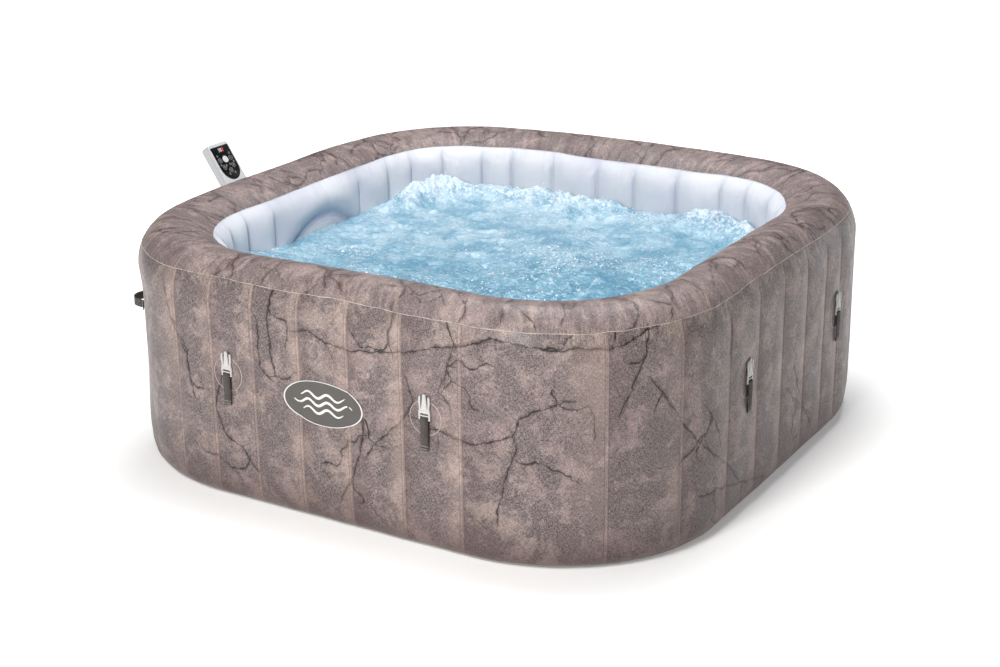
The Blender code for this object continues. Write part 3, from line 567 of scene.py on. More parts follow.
def make_skin(name, node, pleats, relief, start, end, rows, material):
    """A sheet of the chamber's skin between two lines round the tub; start and end give t for each run."""
    run = skin_columns(pleats)
    share = np.linspace(0, 1, rows)
    share = share - 0.10 * np.sin(2 * math.pi * share) / (2 * math.pi)
    t = start(run)[None, :] * (1 - share[:, None]) + end(run)[None, :] * share[:, None]
    runs = np.broadcast_to(run, t.shape)
    points = skin_point(runs, t, relief)
    made = mesh_object(name, points.reshape(-1, 3), grid_faces(rows, len(run), wrap=True), "tub", material)
    if pleats is OUTER_PLEATS:
        store_print(made, runs, t, rim=start is RIM_START)
    else:
        _, _, near = panel(runs, pleats)
        store(made, "pleat", np.minimum(near, PLEAT_REACH))
        store(made, "drop", PRINT_END(runs) - t)
        store(made, "run", runs)
        store(made, "ring", from_disc(runs, points[..., 2])[1])
    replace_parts(made, node)
    return made


def OUTER_START(run):
    return 0 * run


def RIM_START(run):
    return SECTION.seam + seam_shift(run)


def FOOT_LINE(run):
    return SECTION.outside(0.012) + 0 * run


def PRINT_END(run):
    return SECTION.print_end + end_shift(run)


def INNER_END(run):
    return SECTION.t[-1] + 0 * run


def make_weld(name, line, relief, width, material, seed):
    """The narrow, uneven strip where two sheets are welded together, standing a little proud."""
    run = np.arange(0, LAP, 0.006)
    half = width / 2 * (1 + 0.45 * run_noise(run, 0 * run, 0.02, 1.0, seed))
    across = np.array([-1.0, -0.8, 0.0, 0.8, 1.0])
    lift = np.array([-0.0004, 0.0006, 0.0009, 0.0006, -0.0004])
    t = line(run)[None, :] + across[:, None] * half[None, :]
    runs = np.broadcast_to(run, t.shape)
    points = skin_point(runs, t, relief, lift[:, None])
    return mesh_object(name, points.reshape(-1, 3), grid_faces(5, len(run), wrap=True), "tub", material)


# ---- Materials ------------------------------------------------------------------------------------

class Shader:
    """A Principled material, with short names for the nodes that it takes."""

    def __init__(self, name, **fixed):
        self.material = bpy.data.materials.new(name)
        self.material.use_nodes = True
        self.tree = self.material.node_tree
        self.surface = self.tree.nodes["Principled BSDF"]
        for key, value in fixed.items():
            self.surface.inputs[key.replace("_", " ")].default_value = value
        self.place = self.add("ShaderNodeTexCoord").outputs["Object"]

    def add(self, kind, settings=(), **values):
        node = self.tree.nodes.new(kind)
        for key, value in dict(settings).items():
            setattr(node, key, value)
        for key, value in values.items():
            self.feed(node.inputs[key.replace("_", " ")], value)
        return node

    def feed(self, socket, value):
        if isinstance(value, bpy.types.NodeSocket):
            self.tree.links.new(value, socket)
        else:
            socket.default_value = value

    def number(self, name):
        return self.add("ShaderNodeAttribute", {"attribute_name": name}).outputs["Fac"]

    def math(self, operation, a, b=0.0, clamp=False):
        node = self.add("ShaderNodeMath", {"operation": operation, "use_clamp": clamp})
        self.feed(node.inputs[0], a)
        self.feed(node.inputs[1], b)
        return node.outputs[0]

    def times(self, a, b, clamp=False):
        return self.math("MULTIPLY", a, b, clamp)

    def plus(self, a, b):
        return self.math("ADD", a, b)

    def stretched(self, scale, place=None):
        node = self.add("ShaderNodeMapping")
        self.feed(node.inputs["Vector"], place or self.place)
        node.inputs["Scale"].default_value = scale
        return node.outputs[0]

    def noise(self, scale, detail=3.0, roughness=0.55, place=None, distortion=0.0):
        node = self.add("ShaderNodeTexNoise", Scale=scale, Detail=detail, Roughness=roughness,
                        Distortion=distortion, Vector=place or self.place)
        return node.outputs["Fac"]

    def streaks(self, flat, along, down, detail=2.0, roughness=0.6):
        """Noise with this many cells per metre along the run and down the drop."""
        return self.noise(1.0, detail, roughness, self.stretched((along, down, 1.0), flat))

    def warped(self, scale, amount, detail=3.0):
        """The place, pushed about by noise."""
        source = self.add("ShaderNodeTexNoise", Scale=scale, Detail=detail, Roughness=0.6,
                          Vector=self.place).outputs["Color"]
        shift = self.add("ShaderNodeVectorMath", {"operation": "MULTIPLY_ADD"})
        self.feed(shift.inputs[0], source)
        shift.inputs[1].default_value = (2 * amount,) * 3
        offset = self.add("ShaderNodeVectorMath", {"operation": "SUBTRACT"})
        self.feed(shift.inputs[2], self.place)
        self.feed(offset.inputs[0], shift.outputs[0])
        offset.inputs[1].default_value = (amount,) * 3
        return offset.outputs[0]

    def cells(self, scale, feature="F1", place=None, output="Distance"):
        node = self.add("ShaderNodeTexVoronoi", {"feature": feature}, Scale=scale, Vector=place or self.place)
        return node.outputs[output]

    def between(self, value, low, high, to_low=0.0, to_high=1.0):
        """Maps low..high to to_low..to_high with a smooth turn, and stays there outside."""
        node = self.add("ShaderNodeMapRange", {"interpolation_type": "SMOOTHSTEP"}, From_Min=low, From_Max=high,
                        To_Min=to_low, To_Max=to_high)
        self.feed(node.inputs["Value"], value)
        return node.outputs["Result"]

    def mix(self, share, low, high, blend="MIX"):
        node = self.add("ShaderNodeMix", {"data_type": "RGBA", "blend_type": blend})
        self.feed(node.inputs["Factor"], share)
        self.feed(node.inputs[6], low)
        self.feed(node.inputs[7], high)
        return node.outputs[2]

    def vector(self, x, y, z=0.0):
        node = self.add("ShaderNodeCombineXYZ")
        for socket, value in zip(node.inputs, (x, y, z)):
            self.feed(socket, value)
        return node.outputs[0]

    def bump(self, height, distance, strength=1.0, under=None):
        node = self.add("ShaderNodeBump", Strength=strength, Distance=distance, Height=height)
        if under:
            self.feed(node.inputs["Normal"], under)
        return node.outputs[0]

    def finish(self, colour=None, roughness=None, normal=None):
        for key, value in (("Base Color", colour), ("Roughness", roughness), ("Normal", normal)):
            if value is not None:
                self.feed(self.surface.inputs[key], value)
        return self.material


STONE = srgb(176, 150, 142)
STONE_LIGHT = srgb(214, 188, 174)
STONE_PINK = srgb(170, 142, 141)
STONE_DARK = srgb(78, 58, 57)
CRACK = srgb(34, 25, 25)


def stone_print(name, rim=False):
    """PVC sheet with a printed stone pattern: clouds, stained branching cracks, a leathery grain and specks. On the
    wall, painted shade and light across each panel and at the pleats' welds, and painted shade, with some staining,
    towards the foot; on the rim, painted light that lifts the whole print.
    """
    s = Shader(name, Specular_IOR_Level=0.24, Coat_Weight=0.04 if rim else 0.12, Coat_Roughness=0.18)
    drop, run, pleat, stain = (s.number(k) for k in ("drop", "run", "pleat", "stain"))
    flat = s.vector(run, drop)
    warp = s.warped(3.0, 0.10, detail=5.0)
    colour = s.mix(s.between(s.noise(2.8, 7.0, 0.66, warp), 0.42, 0.58), STONE, STONE_LIGHT)
    colour = s.mix(s.between(s.noise(1.5, 4.0, 0.6), 0.45, 0.66, 0.0, 0.75), colour, STONE_PINK)
    smudge = s.between(s.noise(2.9, 10.0, 0.76, warp), 0.46, 0.70, 0.0, 0.50)
    colour = s.mix(smudge, colour, STONE_DARK)
    if not rim:
        above = s.times(s.between(drop, 0.010, 0.120, 0.50, 0.0), s.between(s.noise(1.7, 2.0), 0.36, 0.56))
        colour = s.mix(above, colour, srgb(188, 174, 160))
    patchy = s.between(s.noise(11.0, 9.0, 0.78, warp), 0.38, 0.62, 0.42, 1.0)
    colour = s.mix(s.times(s.times(stain, 0.92), patchy, clamp=True), colour, STONE_DARK)

    jag = s.times(s.math("SUBTRACT", s.noise(24.0, 5.0, 0.62), 0.5), 0.026)
    fine = s.times(s.math("SUBTRACT", s.noise(130.0, 3.0, 0.6), 0.5), 0.006)
    jag = s.plus(jag, fine)
    thick = s.between(s.noise(30.0, 3.0, 0.6), 0.34, 0.66, 0.0006, 0.0048 if rim else 0.0034)
    lines = None
    for level in range(3):
        offset = s.math("ABSOLUTE", s.plus(s.number(f"crack_{level}"), jag))
        edge = s.math("DIVIDE", offset, thick)
        strength = s.number(f"crack_strength_{level}")
        core = s.times(s.between(edge, 0.5, 1.25, 1.0, 0.0), s.between(strength, 0.15, 0.60))
        soft = s.times(s.between(edge, 0.6, 4.2, 0.50, 0.0), strength)
        line = s.math("MAXIMUM", core, soft)
        lines = line if lines is None else s.math("MAXIMUM", lines, line)
    veins = s.math("ABSOLUTE", s.math("SUBTRACT", s.noise(5.5, 6.0, 0.62, warp), 0.5))
    veins = s.times(s.between(veins, 0.0, 0.006, 0.55, 0.0), s.between(s.noise(3.1, 3.0), 0.50, 0.62))
    lines = s.math("MAXIMUM", lines, veins)

    threads = s.streaks(flat, 620.0, 120.0)
    wefts = s.streaks(flat, 120.0, 620.0)
    leather = s.cells(290.0, "DISTANCE_TO_EDGE", s.warped(120.0, 0.003))
    grain = s.plus(s.plus(threads, wefts), s.noise(300.0, 3.0, 0.75))
    colour = s.mix(s.between(grain, 1.25, 1.75), s.mix(0.26, colour, (0, 0, 0, 1)), s.mix(0.17, colour, (1, 1, 1, 1)))
    colour = s.mix(s.between(leather, 0.0, 0.16, 0.26, 0.0), colour, STONE_DARK)
    specks = s.between(s.noise(150.0, 4.0, 0.78), 0.55, 0.67, 0.0, 0.66)
    specks = s.times(specks, s.between(s.noise(5.0, 4.0), 0.38, 0.60, 0.25, 1.0))
    colour = s.mix(specks, colour, CRACK)
    colour = s.mix(s.between(s.noise(128.0, 4.0, 0.78), 0.56, 0.70, 0.0, 0.24), colour, STONE_LIGHT)
    colour = s.mix(s.times(lines, 0.96), colour, CRACK)
    if rim:
        # Painted light: the rim's print is lifted all over, standing in for the light on its crest.
        colour = s.mix(0.10, colour, srgb(196, 178, 178))
        streaks = s.streaks(flat, 46.0, 9.0, 4.0)
        colour = s.mix(s.between(streaks, 0.46, 0.72, 0.0, 0.46), colour, STONE_DARK)
        colour = s.mix(s.between(streaks, 0.28, 0.48, 0.20, 0.0), colour, STONE_LIGHT)
    else:
        # Painted shade and light across each panel: darker just after the pleat on its left, lighter towards the pleat
        # on its right, as the bulging panels would be lit.
        through = s.number("through")
        uneven = s.between(s.noise(2.3, 3.0), 0.40, 0.60, 0.30, 1.0)
        colour = s.mix(s.times(s.between(through, 0.0, 0.45, 0.32, 0.0), uneven), colour, STONE_DARK)
        colour = s.mix(s.times(s.between(through, 0.60, 1.0, 0.0, 0.18), uneven), colour, STONE_LIGHT)
        # Painted shade along both edges of each pleat's welded band, and painted light on the band between them.
        pair = s.between(s.math("ABSOLUTE", s.math("SUBTRACT", pleat, WEB_BAND)), 0.0004, 0.0022, 0.34, 0.0)
        colour = s.mix(pair, colour, STONE_DARK)
        colour = s.mix(s.between(pleat, 0.0025, 0.0050, 0.14, 0.0), colour, STONE_LIGHT)
        # Darker towards the foot of the wall: painted shade, with some staining.
        colour = s.mix(s.between(drop, 0.50, 0.68, 0.0, 0.62), colour, STONE_DARK)
    rough = s.between(s.noise(12.0, 4.0), 0.3, 0.7, 0.40, 0.54)
    weave = s.bump(s.plus(grain, s.times(leather, 0.8)), 0.0004, 0.6)
    creases = s.bump(s.noise(14.0, 5.0, 0.6, s.warped(6.0, 0.05)), 0.0035, 0.35, weave)
    puckers = s.times(s.streaks(flat, 62.0, 6.0, 3.0), s.between(s.math("ABSOLUTE", drop), 0.0, 0.055, 1.0, 0.0))
    return s.finish(colour, rough, s.bump(puckers, 0.010, 0.8, creases))


def white_pvc():
    """White laminated sheet: a faint linen grain and soft creases, with painted cool shade along its pleats and in the
    groove round the disc.
    """
    s = Shader("basin_pvc", Specular_IOR_Level=0.45)
    run, drop, pleat = s.number("run"), s.number("drop"), s.number("pleat")
    flat = s.vector(run, drop)
    colour = s.mix(s.between(s.noise(6.0, 4.0), 0.35, 0.7), srgb(212, 214, 220), srgb(199, 201, 212))
    # Painted blue-grey shade in the pressed groove round the disc.
    ring = s.math("ABSOLUTE", s.math("SUBTRACT", s.number("ring"), 1.08))
    colour = s.mix(s.between(ring, 0.02, 0.16, 0.55, 0.0), colour, srgb(150, 162, 192))
    # Painted cool shade along the basin's pleats, where its creases are.
    colour = s.mix(s.between(pleat, 0.0, 0.024, 0.20, 0.0), colour, srgb(168, 172, 196))
    grain = s.plus(s.streaks(flat, 800.0, 160.0), s.streaks(flat, 160.0, 800.0))
    weave = s.bump(grain, 0.0002, 0.4)
    soft = s.bump(s.streaks(flat, 30.0, 7.0, 4.0, 0.55), 0.004, 0.35, weave)
    puckers = s.streaks(flat, 52.0, 7.0, 2.0, 0.5)
    puckers = s.times(puckers, s.between(s.math("ABSOLUTE", drop), 0.01, 0.12, 1.0, 0.0))
    soft = s.bump(puckers, 0.005, 0.5, soft)
    return s.finish(colour, s.between(s.noise(20.0, 3.0), 0.3, 0.7, 0.36, 0.48), soft)


def moulded(name, colour, roughness=0.42, grain=700.0, depth=0.00012, dirt=0.10):
    """Moulded plastic: spark-eroded grain, slightly uneven gloss and colour, and dust in its pores."""
    s = Shader(name)
    tone = s.between(s.noise(35.0, 5.0, 0.6), 0.35, 0.70, 0.0, dirt)
    shade = tuple(c * 0.62 for c in colour[:3]) + (1.0,)
    fine = s.noise(grain, 3.0, 0.6)
    rough = s.between(s.noise(60.0, 4.0), 0.3, 0.7, roughness - 0.05, roughness + 0.08)
    return s.finish(s.mix(tone, colour, shade), rough, s.bump(fine, depth, 0.5))


def gloss(name, colour, roughness=0.12):
    s = Shader(name, Coat_Weight=0.15, Coat_Roughness=0.06, Specular_IOR_Level=0.35)
    smears = s.noise(18.0, 4.0, 0.6, s.warped(9.0, 0.04))
    return s.finish(s.mix(s.between(smears, 0.4, 0.8, 0.0, 0.05), colour, (0.5, 0.5, 0.5, 1)),
                    s.between(smears, 0.35, 0.7, roughness, roughness + 0.10))


def webbing_cloth():
    """Flat polypropylene webbing: a herringbone of fine ribs, in the piece's own (along, across) metres."""
    s = Shader("strap_webbing", Sheen_Weight=0.25, Sheen_Roughness=0.4, Specular_IOR_Level=0.35)
    along, across = s.number("along"), s.number("across")
    ribs = s.math("SINE", s.times(along, 2 * math.pi / 0.0016))
    shift = s.math("PINGPONG", across, 0.0021)
    twill = s.math("SINE", s.times(s.plus(along, shift), 2 * math.pi / 0.0011))
    weave = s.plus(s.times(ribs, 0.5), twill)
    colour = s.mix(s.between(weave, -1.2, 1.2), srgb(32, 27, 27), srgb(70, 59, 56))
    colour = s.mix(s.between(s.noise(90.0, 3.0), 0.45, 0.8, 0.0, 0.35), colour, srgb(78, 66, 60))
    return s.finish(colour, 0.78, s.bump(weave, 0.0003, 0.8))


def thread():
    s = Shader("strap_thread", Sheen_Weight=0.2)
    twist = s.noise(900.0, 2.0)
    return s.finish(s.mix(twist, srgb(178, 166, 158), srgb(222, 214, 206)), 0.7, s.bump(twist, 0.0002, 0.6))


def churned_water():
    """Aerated water: blue where it is clear and deep, milky on its humps, white where bubbles break."""
    s = Shader("water_surface", Specular_IOR_Level=0.5, IOR=1.33, Coat_Weight=0.4, Coat_Roughness=0.08,
               Subsurface_Weight=0.2, Subsurface_Radius=(0.01, 0.03, 0.04), Subsurface_Scale=0.5)
    lift, foam = s.number("lift"), s.number("foam")
    warp = s.warped(14.0, 0.026, detail=5.0)
    near = s.between(s.number("back"), 0.0, 1.0)
    colour = s.mix(near, srgb(82, 140, 168), srgb(116, 162, 186))
    light = s.mix(near, srgb(122, 172, 196), srgb(172, 200, 216))
    colour = s.mix(s.between(s.noise(9.0, 9.0, 0.72, warp), 0.38, 0.62), colour, light)
    milky = s.plus(s.times(foam, 0.75), s.between(s.noise(70.0, 6.0, 0.75, warp), 0.36, 0.68, -0.30, 0.42))
    milky = s.plus(milky, s.times(lift, 4.0))
    colour = s.mix(s.between(milky, 0.30, 1.05), colour, srgb(208, 222, 234))
    froth = s.between(s.cells(120.0, "F1", s.warped(60.0, 0.008)), 0.10, 0.34, 1.0, 0.0)
    froth = s.times(froth, s.between(milky, 0.20, 0.70))
    sparks = s.between(s.noise(120.0, 5.0, 0.80, warp), 0.57, 0.66)
    sparks = s.times(sparks, s.between(s.noise(9.0, 4.0, 0.7), 0.38, 0.60, 0.25, 1.0))
    colour = s.mix(s.times(s.math("MAXIMUM", froth, sparks), 0.85), colour, srgb(252, 252, 255))
    pits = s.between(s.noise(95.0, 5.0, 0.80), 0.56, 0.68, 0.0, 0.45)
    colour = s.mix(pits, colour, srgb(92, 134, 162))
    ripple = s.bump(s.noise(60.0, 6.0, 0.75, s.warped(18.0, 0.02)), 0.009, 0.6)
    fizz = s.bump(s.noise(150.0, 4.0, 0.8, warp), 0.0040, 0.8, ripple)
    return s.finish(colour, s.between(milky, 0.2, 0.9, 0.10, 0.45), fizz)


def bubble_film():
    s = Shader("bubbles", Specular_IOR_Level=0.6, Coat_Weight=0.8, Coat_Roughness=0.03)
    return s.finish(s.mix(s.noise(60.0, 2.0), srgb(206, 232, 242), srgb(250, 253, 255)), 0.10)


def floor_paint():
    s = Shader("studio_floor", Specular_IOR_Level=0.1)
    s.surface.inputs["Emission Color"].default_value = (1.0, 1.0, 1.0, 1.0)
    distance = s.add("ShaderNodeVectorMath", {"operation": "LENGTH"}, Vector=s.place).outputs["Value"]
    s.feed(s.surface.inputs["Emission Strength"], s.between(distance, 1.2, 4.0, 0.22, 0.85))
    return s.finish(s.mix(s.noise(0.6, 2.0), srgb(247, 247, 247), srgb(251, 251, 251)), 0.75)


# ---- Water ----------------------------------------------------------------------------------------

def beyond_edge(x, y, half, radius):
    """Distance outside a rounded square; negative inside."""
    away_x, away_y = np.abs(x) - (half - radius), np.abs(y) - (half - radius)
    outside = np.hypot(np.maximum(away_x, 0), np.maximum(away_y, 0))
    return outside + np.minimum(np.maximum(away_x, away_y), 0) - radius


def billow(x, y, cell, seed):
    """Rounded humps with creases between them, from 0 to 1."""
    return 1 - np.abs(value_noise(x / cell, y / cell, seed))


def water_level(x, y):
    """Height of the churned surface, and how foamy it is there (0 to 1)."""
    half = HALF - WALL_WIDTH
    edge = beyond_edge(x, y, half, corner_radius(WALL_WIDTH))
    bent_x = x + 0.045 * value_noise(x / 0.13, y / 0.13, 51)
    bent_y = y + 0.045 * value_noise(x / 0.13, y / 0.13, 52)
    back = 0.10 + 0.52 * smooth(y, 0.15, 0.60) + 0.62 * bell(np.hypot(x + 0.60, y - 0.62), 0.34)
    back = back + 0.45 * bell(np.hypot(x - 0.62, y - 0.60), 0.26)
    boil = bell(edge + 0.085, 0.080) * back * (0.80 + 0.60 * value_noise(x / 0.12, y / 0.12, 53))
    swell = 0.010 * value_noise(x / 0.26, y / 0.26, 54)
    chop = 0.014 * (billow(bent_x, bent_y, 0.075, 55) - 0.5) + 0.011 * (billow(bent_x, bent_y, 0.034, 56) - 0.5)
    fizz = 0.0075 * (billow(bent_x, bent_y, 0.017, 57) - 0.5) + 0.0022 * value_noise(x / 0.0095, y / 0.0095, 58)
    lively = 0.62 + 0.75 * np.clip(boil, 0, 1)
    lean = 0.026 * bell(np.hypot(x + 0.68, y + 0.46), 0.22)
    level = WATER_HEIGHT + lean + 0.050 * boil + swell + lively * (chop + fizz)
    foam = 0.20 + 0.55 * np.minimum(boil, 1) + 12 * lively * (chop + fizz) + 0.30 * value_noise(x / 0.16, y / 0.16, 59)
    return level, np.clip(foam, 0, 1)


def clipped_grid(half, radius, cell):
    """Points (x, y) of a square grid whose border follows a rounded square, and its faces, seen from above."""
    line = np.arange(-half - cell, half + 2 * cell, cell)
    x, y = np.meshgrid(line, line, indexing="ij")
    beyond = beyond_edge(x, y, half, radius)
    corner_x, corner_y = np.clip(x, radius - half, half - radius), np.clip(y, radius - half, half - radius)
    out_x, out_y = x - corner_x, y - corner_y
    scale = np.where(beyond > 0, radius / np.maximum(np.hypot(out_x, out_y), 1e-9), 1)
    x, y = corner_x + out_x * scale, corner_y + out_y * scale
    kept = beyond < 0
    size = len(line)
    used = (kept[:-1, :-1] | kept[1:, :-1] | kept[1:, 1:] | kept[:-1, 1:]).ravel()
    names, faces = np.unique(np.array(grid_faces(size, size, flip=True))[used], return_inverse=True)
    return x.ravel()[names], y.ravel()[names], faces.reshape(-1, 4).tolist()


def make_water(material):
    """The surface, which runs a little way into the chamber so that the basin's side makes the waterline."""
    x, y, faces = clipped_grid(HALF - WALL_WIDTH + WATER_OVERLAP, corner_radius(WALL_WIDTH), WATER_CELL)
    level, foam = water_level(x, y)
    made = mesh_object("water", np.stack([x, y, level], -1), faces, "tub", material)
    store(made, "foam", foam)
    store(made, "lift", level - WATER_HEIGHT)
    store(made, "back", smooth(y - 0.7 * x, -0.75, 0.85))
    return made


def make_bubbles(material):
    """Bubbles and drops that break the surface, gathered on its foamy humps."""
    ball = bmesh.new()
    bmesh.ops.create_icosphere(ball, subdivisions=2, radius=1.0)
    shape = np.array([v.co for v in ball.verts])
    faces = np.array([[v.index for v in f.verts] for f in ball.faces])
    ball.free()
    rng = np.random.default_rng(61)
    half = HALF - WALL_WIDTH - 0.02
    x, y = rng.uniform(-half, half, (2, BUBBLES * 6))
    level, foam = water_level(x, y)
    inside = beyond_edge(x, y, half, corner_radius(WALL_WIDTH)) < 0
    chosen = np.flatnonzero(inside & (foam > rng.uniform(0.3, 1.0, len(x))))[:BUBBLES]
    sizes = 0.0009 + 0.0024 * rng.random(len(chosen)) ** 3
    lifts = np.where(rng.random(len(chosen)) < 0.12, rng.uniform(0.004, 0.022, len(chosen)), 0)
    centres = np.stack([x[chosen], y[chosen], level[chosen] + sizes * 0.35 + lifts], -1)
    points = (centres[:, None] + shape[None] * sizes[:, None, None]).reshape(-1, 3)
    faces = (faces[None] + (np.arange(len(chosen)) * len(shape))[:, None, None]).reshape(-1, 3)
    return mesh_object("water_bubbles", points, faces.tolist(), "tub", material)


# ---- Things on the wall ---------------------------------------------------------------------------

def wall_point(wall, along, height, lift):
    return skin_point(run_of(wall, along), SECTION.outside(height), outer_relief, lift)


def wall_disc(name, wall, centre, half_axes, rings, body, material):
    """A round or oval plate that follows the wall; rings are (share of the radius, lift), inside out."""
    steps = 96
    angle = np.linspace(0, 2 * math.pi, steps, endpoint=False)
    share, lift = np.array(rings).T[..., None]
    lift = np.broadcast_to(lift, (len(rings), steps))
    along = centre[0] + half_axes[0] * share * np.cos(angle)
    height = centre[1] + half_axes[1] * share * np.sin(angle)
    points = wall_point(wall, along, height, lift)
    made = mesh_object(name, points.reshape(-1, 3), grid_faces(len(rings), steps, wrap=True), body, material)
    store_print(made, run_of(wall, along), SECTION.outside(height))
    return made


def wall_stroke(name, wall, line, width, lift, material):
    """A flat line on the wall that swells in its middle, through (along, height) points."""
    line = np.array(line)
    step = np.gradient(line, axis=0)
    step /= np.linalg.norm(step, axis=1)[:, None]
    swell = np.sin(np.linspace(0.06, 1, len(line)) * math.pi * 0.97) ** 0.6 * width / 2
    across = np.array([-1.0, -0.75, 0.75, 1.0])[:, None]
    along = line[None, :, 0] - across * (step[:, 1] * swell)[None]
    height = line[None, :, 1] + across * (step[:, 0] * swell)[None]
    lifts = np.broadcast_to(np.array([0.0008, lift, lift, 0.0008])[:, None], along.shape)
    points = wall_point(wall, along, height, lifts)
    return mesh_object(name, points.reshape(-1, 3), grid_faces(4, len(line)), "tub", material)


def make_badge(field, print_white):
    """The oval badge, with three waves where the photo has a name."""
    low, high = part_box("badge_plaque")
    centre = ((low.x + high.x) / 2, (low.z + high.z) / 2)
    half_axes = ((high.x - low.x) / 2, (high.z - low.z) / 2)
    solid = [(share, 0.0012) for share in (0.02, 0.3, 0.6, 0.86, 0.97)] + [(0.99, 0.0010), (1.0, -0.0006)]
    plate = wall_disc("badge", 0, centre, half_axes, solid, "tub", field)
    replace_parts(plate, "badge_plaque")
    ring = [(0.952, 0.0008), (0.956, 0.0016), (0.984, 0.0016), (0.988, 0.0008)]
    wall_disc("badge_outline", 0, centre, half_axes, ring, "tub", print_white)
    steps = np.linspace(-1, 1, 60)
    for number, (rise, reach) in enumerate(((0.022, 0.56), (0.0, 0.72), (-0.022, 0.50)), 1):
        line = [(centre[0] + x * reach * half_axes[0], centre[1] + rise + 0.0075 * math.sin(x * reach * 13.0))
                for x in steps]
        wall_stroke(f"badge_wave_{number}", 0, line, 0.0085, 0.0017, print_white)


BAR_LOOP = 0.0037                # middle of the webbing round the buckle's bar
WEBBING_WIDTH = 0.025
STITCH_RADIUS = 0.0006
STITCH_REACH = 0.0011            # half of a stitch's length
STITCH_PITCH = 0.0029
STITCHES = 8                     # in a row
HANDLE_ANGLE = math.radians(30)  # of a carry handle round its corner


def smooth_path(points, step):
    """A curve through the points, with a point every step."""
    points = np.array(points, float)
    ends = np.vstack([2 * points[0] - points[1], points, 2 * points[-1] - points[-2]])
    made = []
    for a, b, c, d in zip(ends, ends[1:], ends[2:], ends[3:]):
        count = max(2, int(np.linalg.norm(c - b) / step))
        u = (np.arange(count) / count)[:, None]
        made.append(0.5 * (2 * b + (c - a) * u + (2 * a - 5 * b + 4 * c - d) * u ** 2
                           + (3 * b - 3 * c + d - a) * u ** 3))
    return np.vstack([*made, points[-1:]])


def ribbon(name, path, thickness, matrix, material):
    """Webbing whose middle follows (Y, Z) points in the matrix's frame, with its width along X."""
    path = smooth_path(path, 0.0018)
    along = np.concatenate([[0], np.cumsum(np.linalg.norm(np.diff(path, axis=0), axis=1))])
    tangent = np.gradient(path, axis=0)
    tangent /= np.linalg.norm(tangent, axis=1)[:, None]
    normal = np.stack([-tangent[:, 1], tangent[:, 0]], -1)
    half, thick, soft = WEBBING_WIDTH / 2, thickness / 2, 0.35 * thickness
    section = [(-half + soft, thick), (0, thick), (half - soft, thick), (half, 0.3 * thick), (half, -0.3 * thick),
               (half - soft, -thick), (0, -thick), (-half + soft, -thick), (-half, -0.3 * thick), (-half, 0.3 * thick)]
    points, across = [], []
    for centre, out in zip(path, normal):
        for x, lift in section:
            y, z = centre + out * lift
            points.append(matrix @ Vector((x, y, z)))
            across.append(x)
    count = len(section)
    faces = grid_faces(len(path), count, wrap=True)
    faces += end_caps(len(points), count)
    made = mesh_object(name, points, faces, "tub", material)
    store(made, "along", np.repeat(along, count))
    store(made, "across", across)
    return made


def capsules(name, ends, radius, body, material, sides=6):
    """Many short round-ended rods as one piece, such as stitches."""
    shares, swell = (0.0, 0.12, 0.5, 0.88, 1.0), (0.25, 0.8, 1.0, 0.8, 0.25)
    points, faces = [], []
    for low, high in ends:
        low, high = Vector(low), Vector(high)
        axis = (high - low).normalized()
        side = axis.orthogonal().normalized()
        other = axis.cross(side)
        base = len(points)
        for share, size in zip(shares, swell):
            for i in range(sides):
                angle = 2 * math.pi * i / sides
                out = side * math.cos(angle) + other * math.sin(angle)
                points.append(low.lerp(high, share) + radius * size * out)
        faces += [[base + i for i in quad] for quad in grid_faces(len(shares), sides, wrap=True)]
        faces += [[base + i for i in range(sides)][::-1], [base + 4 * sides + i for i in range(sides)]]
    return mesh_object(name, points, faces, body, material)


def wall_frame(wall, along, height, out=0.0):
    """X along the wall, Y up, Z out of it."""
    turn = Matrix.Rotation(wall * math.pi / 2, 4, "Z")
    return turn @ Matrix.Translation((along, -HALF - out, height)) @ Matrix.Rotation(math.pi / 2, 4, "X")


def stitches(name, rows, matrix, material):
    """Rows of stitches across webbing, each at a (Y, Z) place in the matrix's frame."""
    ends = []
    for row, out in rows:
        for i in range(STITCHES):
            x = -0.0102 + STITCH_PITCH * i
            ends.append([matrix @ Vector((x + d, row, out)) for d in (-STITCH_REACH, STITCH_REACH)])
    capsules(name, ends, STITCH_RADIUS, "tub", material)


def bar_frame(number):
    """The frame of a buckle's lower bar, which is its hinge's axis."""
    hinge = next(j for j in frame["joints"] if j["name"] == f"buckle_{number}_hinge")
    bar = Vector(hinge["pos_m"])
    wall, along = place_on_wall(bar)
    out = max(abs(bar.x), abs(bar.y)) - HALF
    return wall, along, bar.z, wall_frame(wall, along, bar.z, out)


